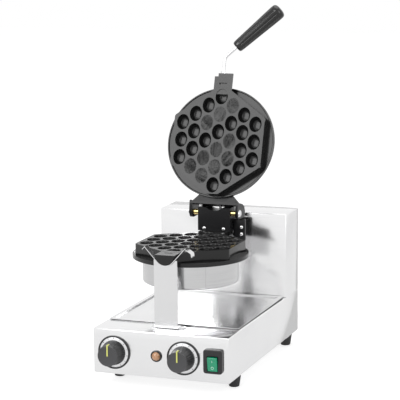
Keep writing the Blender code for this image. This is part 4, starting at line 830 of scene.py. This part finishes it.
# %% [markdown]
# ## Feet and gland
# The machine stands on four tapered rubber feet. A gland at the rear takes the mains lead.

# %% Feet and gland
for label, x, y in (("foot_front_left", -0.108, -0.11455), ("foot_front_right", 0.108, -0.11455),
                    ("foot_rear_left", -0.108, 0.18545), ("foot_rear_right", 0.108, 0.18545)):
    foot = turned(label + "_moulded", [
        (0.0, 0.0237), (0.0121, 0.0237), (0.0125, 0.0233), (0.0125, 0.0210), (0.0122, 0.0204),
        (0.0094, 0.0020), (0.0088, 0.0006), (0.0078, 0.0), (0.0050, 0.0), (0.0045, 0.0012),
        (0.0, 0.0012)], 64, Matrix.Translation((x, y, 0.0)))
    dress(foot, rubber, "base", label)
gland = turned("cable_gland_turned", [
    (0.0042, 0.0103), (0.0064, 0.0103), (0.0068, 0.0100), (0.0082, 0.0044), (0.0085, 0.0033),
    (0.0110, 0.0033), (0.0115, 0.0028), (0.0115, 0.0003), (0.0085, 0.0003), (0.0085, -0.0120),
    (0.0042, -0.0120), (0.0042, 0.0103)], 64,
    Matrix.Translation((0.060, 0.21145, 0.064)) @ Matrix.Rotation(-pi / 2, 4, "X"))
dress(gland, black_plastic, "base", "cable_gland")

# %% [markdown]
# ## The studio
# The machine stands on a pale floor in soft light: one large lamp high on the left, a weaker
# one on the right and one above. Floor and background are white to the camera and nearly white
# in reflections, through Light Path, so the lamps stay low and the steel keeps its grey tones.
# Under the machine the floor keeps a part of its shadow.

# %% Floor
deselect_all()
bpy.ops.mesh.primitive_plane_add(size=14.0, location=(0.0, 2.0, -0.0002))
floor = place_in_mesh(bpy.context.object, "studio_floor")
floor_finish, tree, shader, places = start_finish("pale studio floor", Specular_IOR_Level=0.0)
mix_colours(tree, noise(tree, places.outputs["Object"], 3.0), (0.93, 0.93, 0.93), (0.90, 0.90, 0.90),
            shader.inputs["Base Color"])
shader.inputs["Roughness"].default_value = 0.9
glow = add(tree, "ShaderNodeEmission")
path = add(tree, "ShaderNodeLightPath")
glow_in_gloss, glow_to_camera = 0.92, 1.95
gloss_share, camera_share = 0.85, 0.35
strength = add(tree, "ShaderNodeMapRange")
strength.inputs["To Min"].default_value = glow_in_gloss
strength.inputs["To Max"].default_value = glow_to_camera
for_camera = add(tree, "ShaderNodeMath", {"operation": "MULTIPLY"})
for_camera.inputs[1].default_value = camera_share
for_gloss = add(tree, "ShaderNodeMath", {"operation": "MULTIPLY_ADD"})
for_gloss.inputs[1].default_value = gloss_share
blend = add(tree, "ShaderNodeMixShader")
tree.links.new(path.outputs["Is Camera Ray"], strength.inputs["Value"])
tree.links.new(path.outputs["Is Camera Ray"], for_camera.inputs[0])
tree.links.new(path.outputs["Is Glossy Ray"], for_gloss.inputs[0])
tree.links.new(for_camera.outputs[0], for_gloss.inputs[2])
tree.links.new(strength.outputs[0], glow.inputs["Strength"])
tree.links.new(for_gloss.outputs[0], blend.inputs["Fac"])
tree.links.new(shader.outputs[0], blend.inputs[1])
tree.links.new(glow.outputs[0], blend.inputs[2])
tree.links.new(blend.outputs[0], tree.nodes["Material Output"].inputs["Surface"])
floor.data.materials.append(floor_finish)

# %% World
world = bpy.data.worlds.new("studio world")
bpy.context.scene.world = world
world.use_nodes = True
tree = world.node_tree
path = add(tree, "ShaderNodeLightPath")
first = add(tree, "ShaderNodeMath", {"operation": "MAXIMUM"})
second = add(tree, "ShaderNodeMath", {"operation": "MAXIMUM"})
world_light, world_seen = 0.55, 1.0
level = add(tree, "ShaderNodeMapRange")
level.inputs["To Min"].default_value = world_light
level.inputs["To Max"].default_value = world_seen
tree.links.new(path.outputs["Is Camera Ray"], first.inputs[0])
tree.links.new(path.outputs["Is Glossy Ray"], first.inputs[1])
tree.links.new(first.outputs[0], second.inputs[0])
tree.links.new(path.outputs["Is Transmission Ray"], second.inputs[1])
tree.links.new(second.outputs[0], level.inputs["Value"])
backdrop = tree.nodes["Background"]
backdrop.inputs["Color"].default_value = (1.0, 1.0, 1.0, 1.0)
tree.links.new(level.outputs[0], backdrop.inputs["Strength"])

# %% Lamps
def soft_lamp(name, place, target, size, power):
    data = bpy.data.lights.new(name, "AREA")
    data.shape = "RECTANGLE"
    data.size, data.size_y = size
    data.energy = power
    lamp = bpy.data.objects.new(name, data)
    lamp.location = place
    lamp.rotation_euler = (Vector(target) - Vector(place)).to_track_quat("-Z", "Y").to_euler()
    bpy.context.scene.collection.objects.link(lamp)
    return lamp


aim = (0.0, 0.0, 0.25)
soft_lamp("key lamp", (-0.9, -1.8, 1.5), aim, (1.3, 1.3), 24.0)
soft_lamp("fill lamp", (1.8, -0.9, 1.1), aim, (1.0, 1.4), 9.0)
soft_lamp("top lamp", (0.0, 0.3, 2.2), aim, (1.6, 1.6), 14.0)

# %% Camera at the photograph's viewing angle
camera_data = bpy.data.cameras.new("camera")
camera_data.lens = 145.75
camera_data.sensor_width = 36.0
camera_data.clip_end = 40.0
camera = bpy.data.objects.new("camera", camera_data)
bpy.context.scene.collection.objects.link(camera)
right, up, back = (0.9379, 0.3469, -0.0078), (-0.0506, 0.1590, 0.9860), (0.34326, -0.92433, 0.16669)
camera.matrix_world = Matrix.Translation((1.0043, -2.6917, 0.7901)) @ Matrix(
    (right, up, back)).transposed().to_4x4()
bpy.context.scene.camera = camera
bpy.context.scene.view_settings.view_transform = "Standard"

# %% Update the scene and finish
bpy.context.view_layer.update()
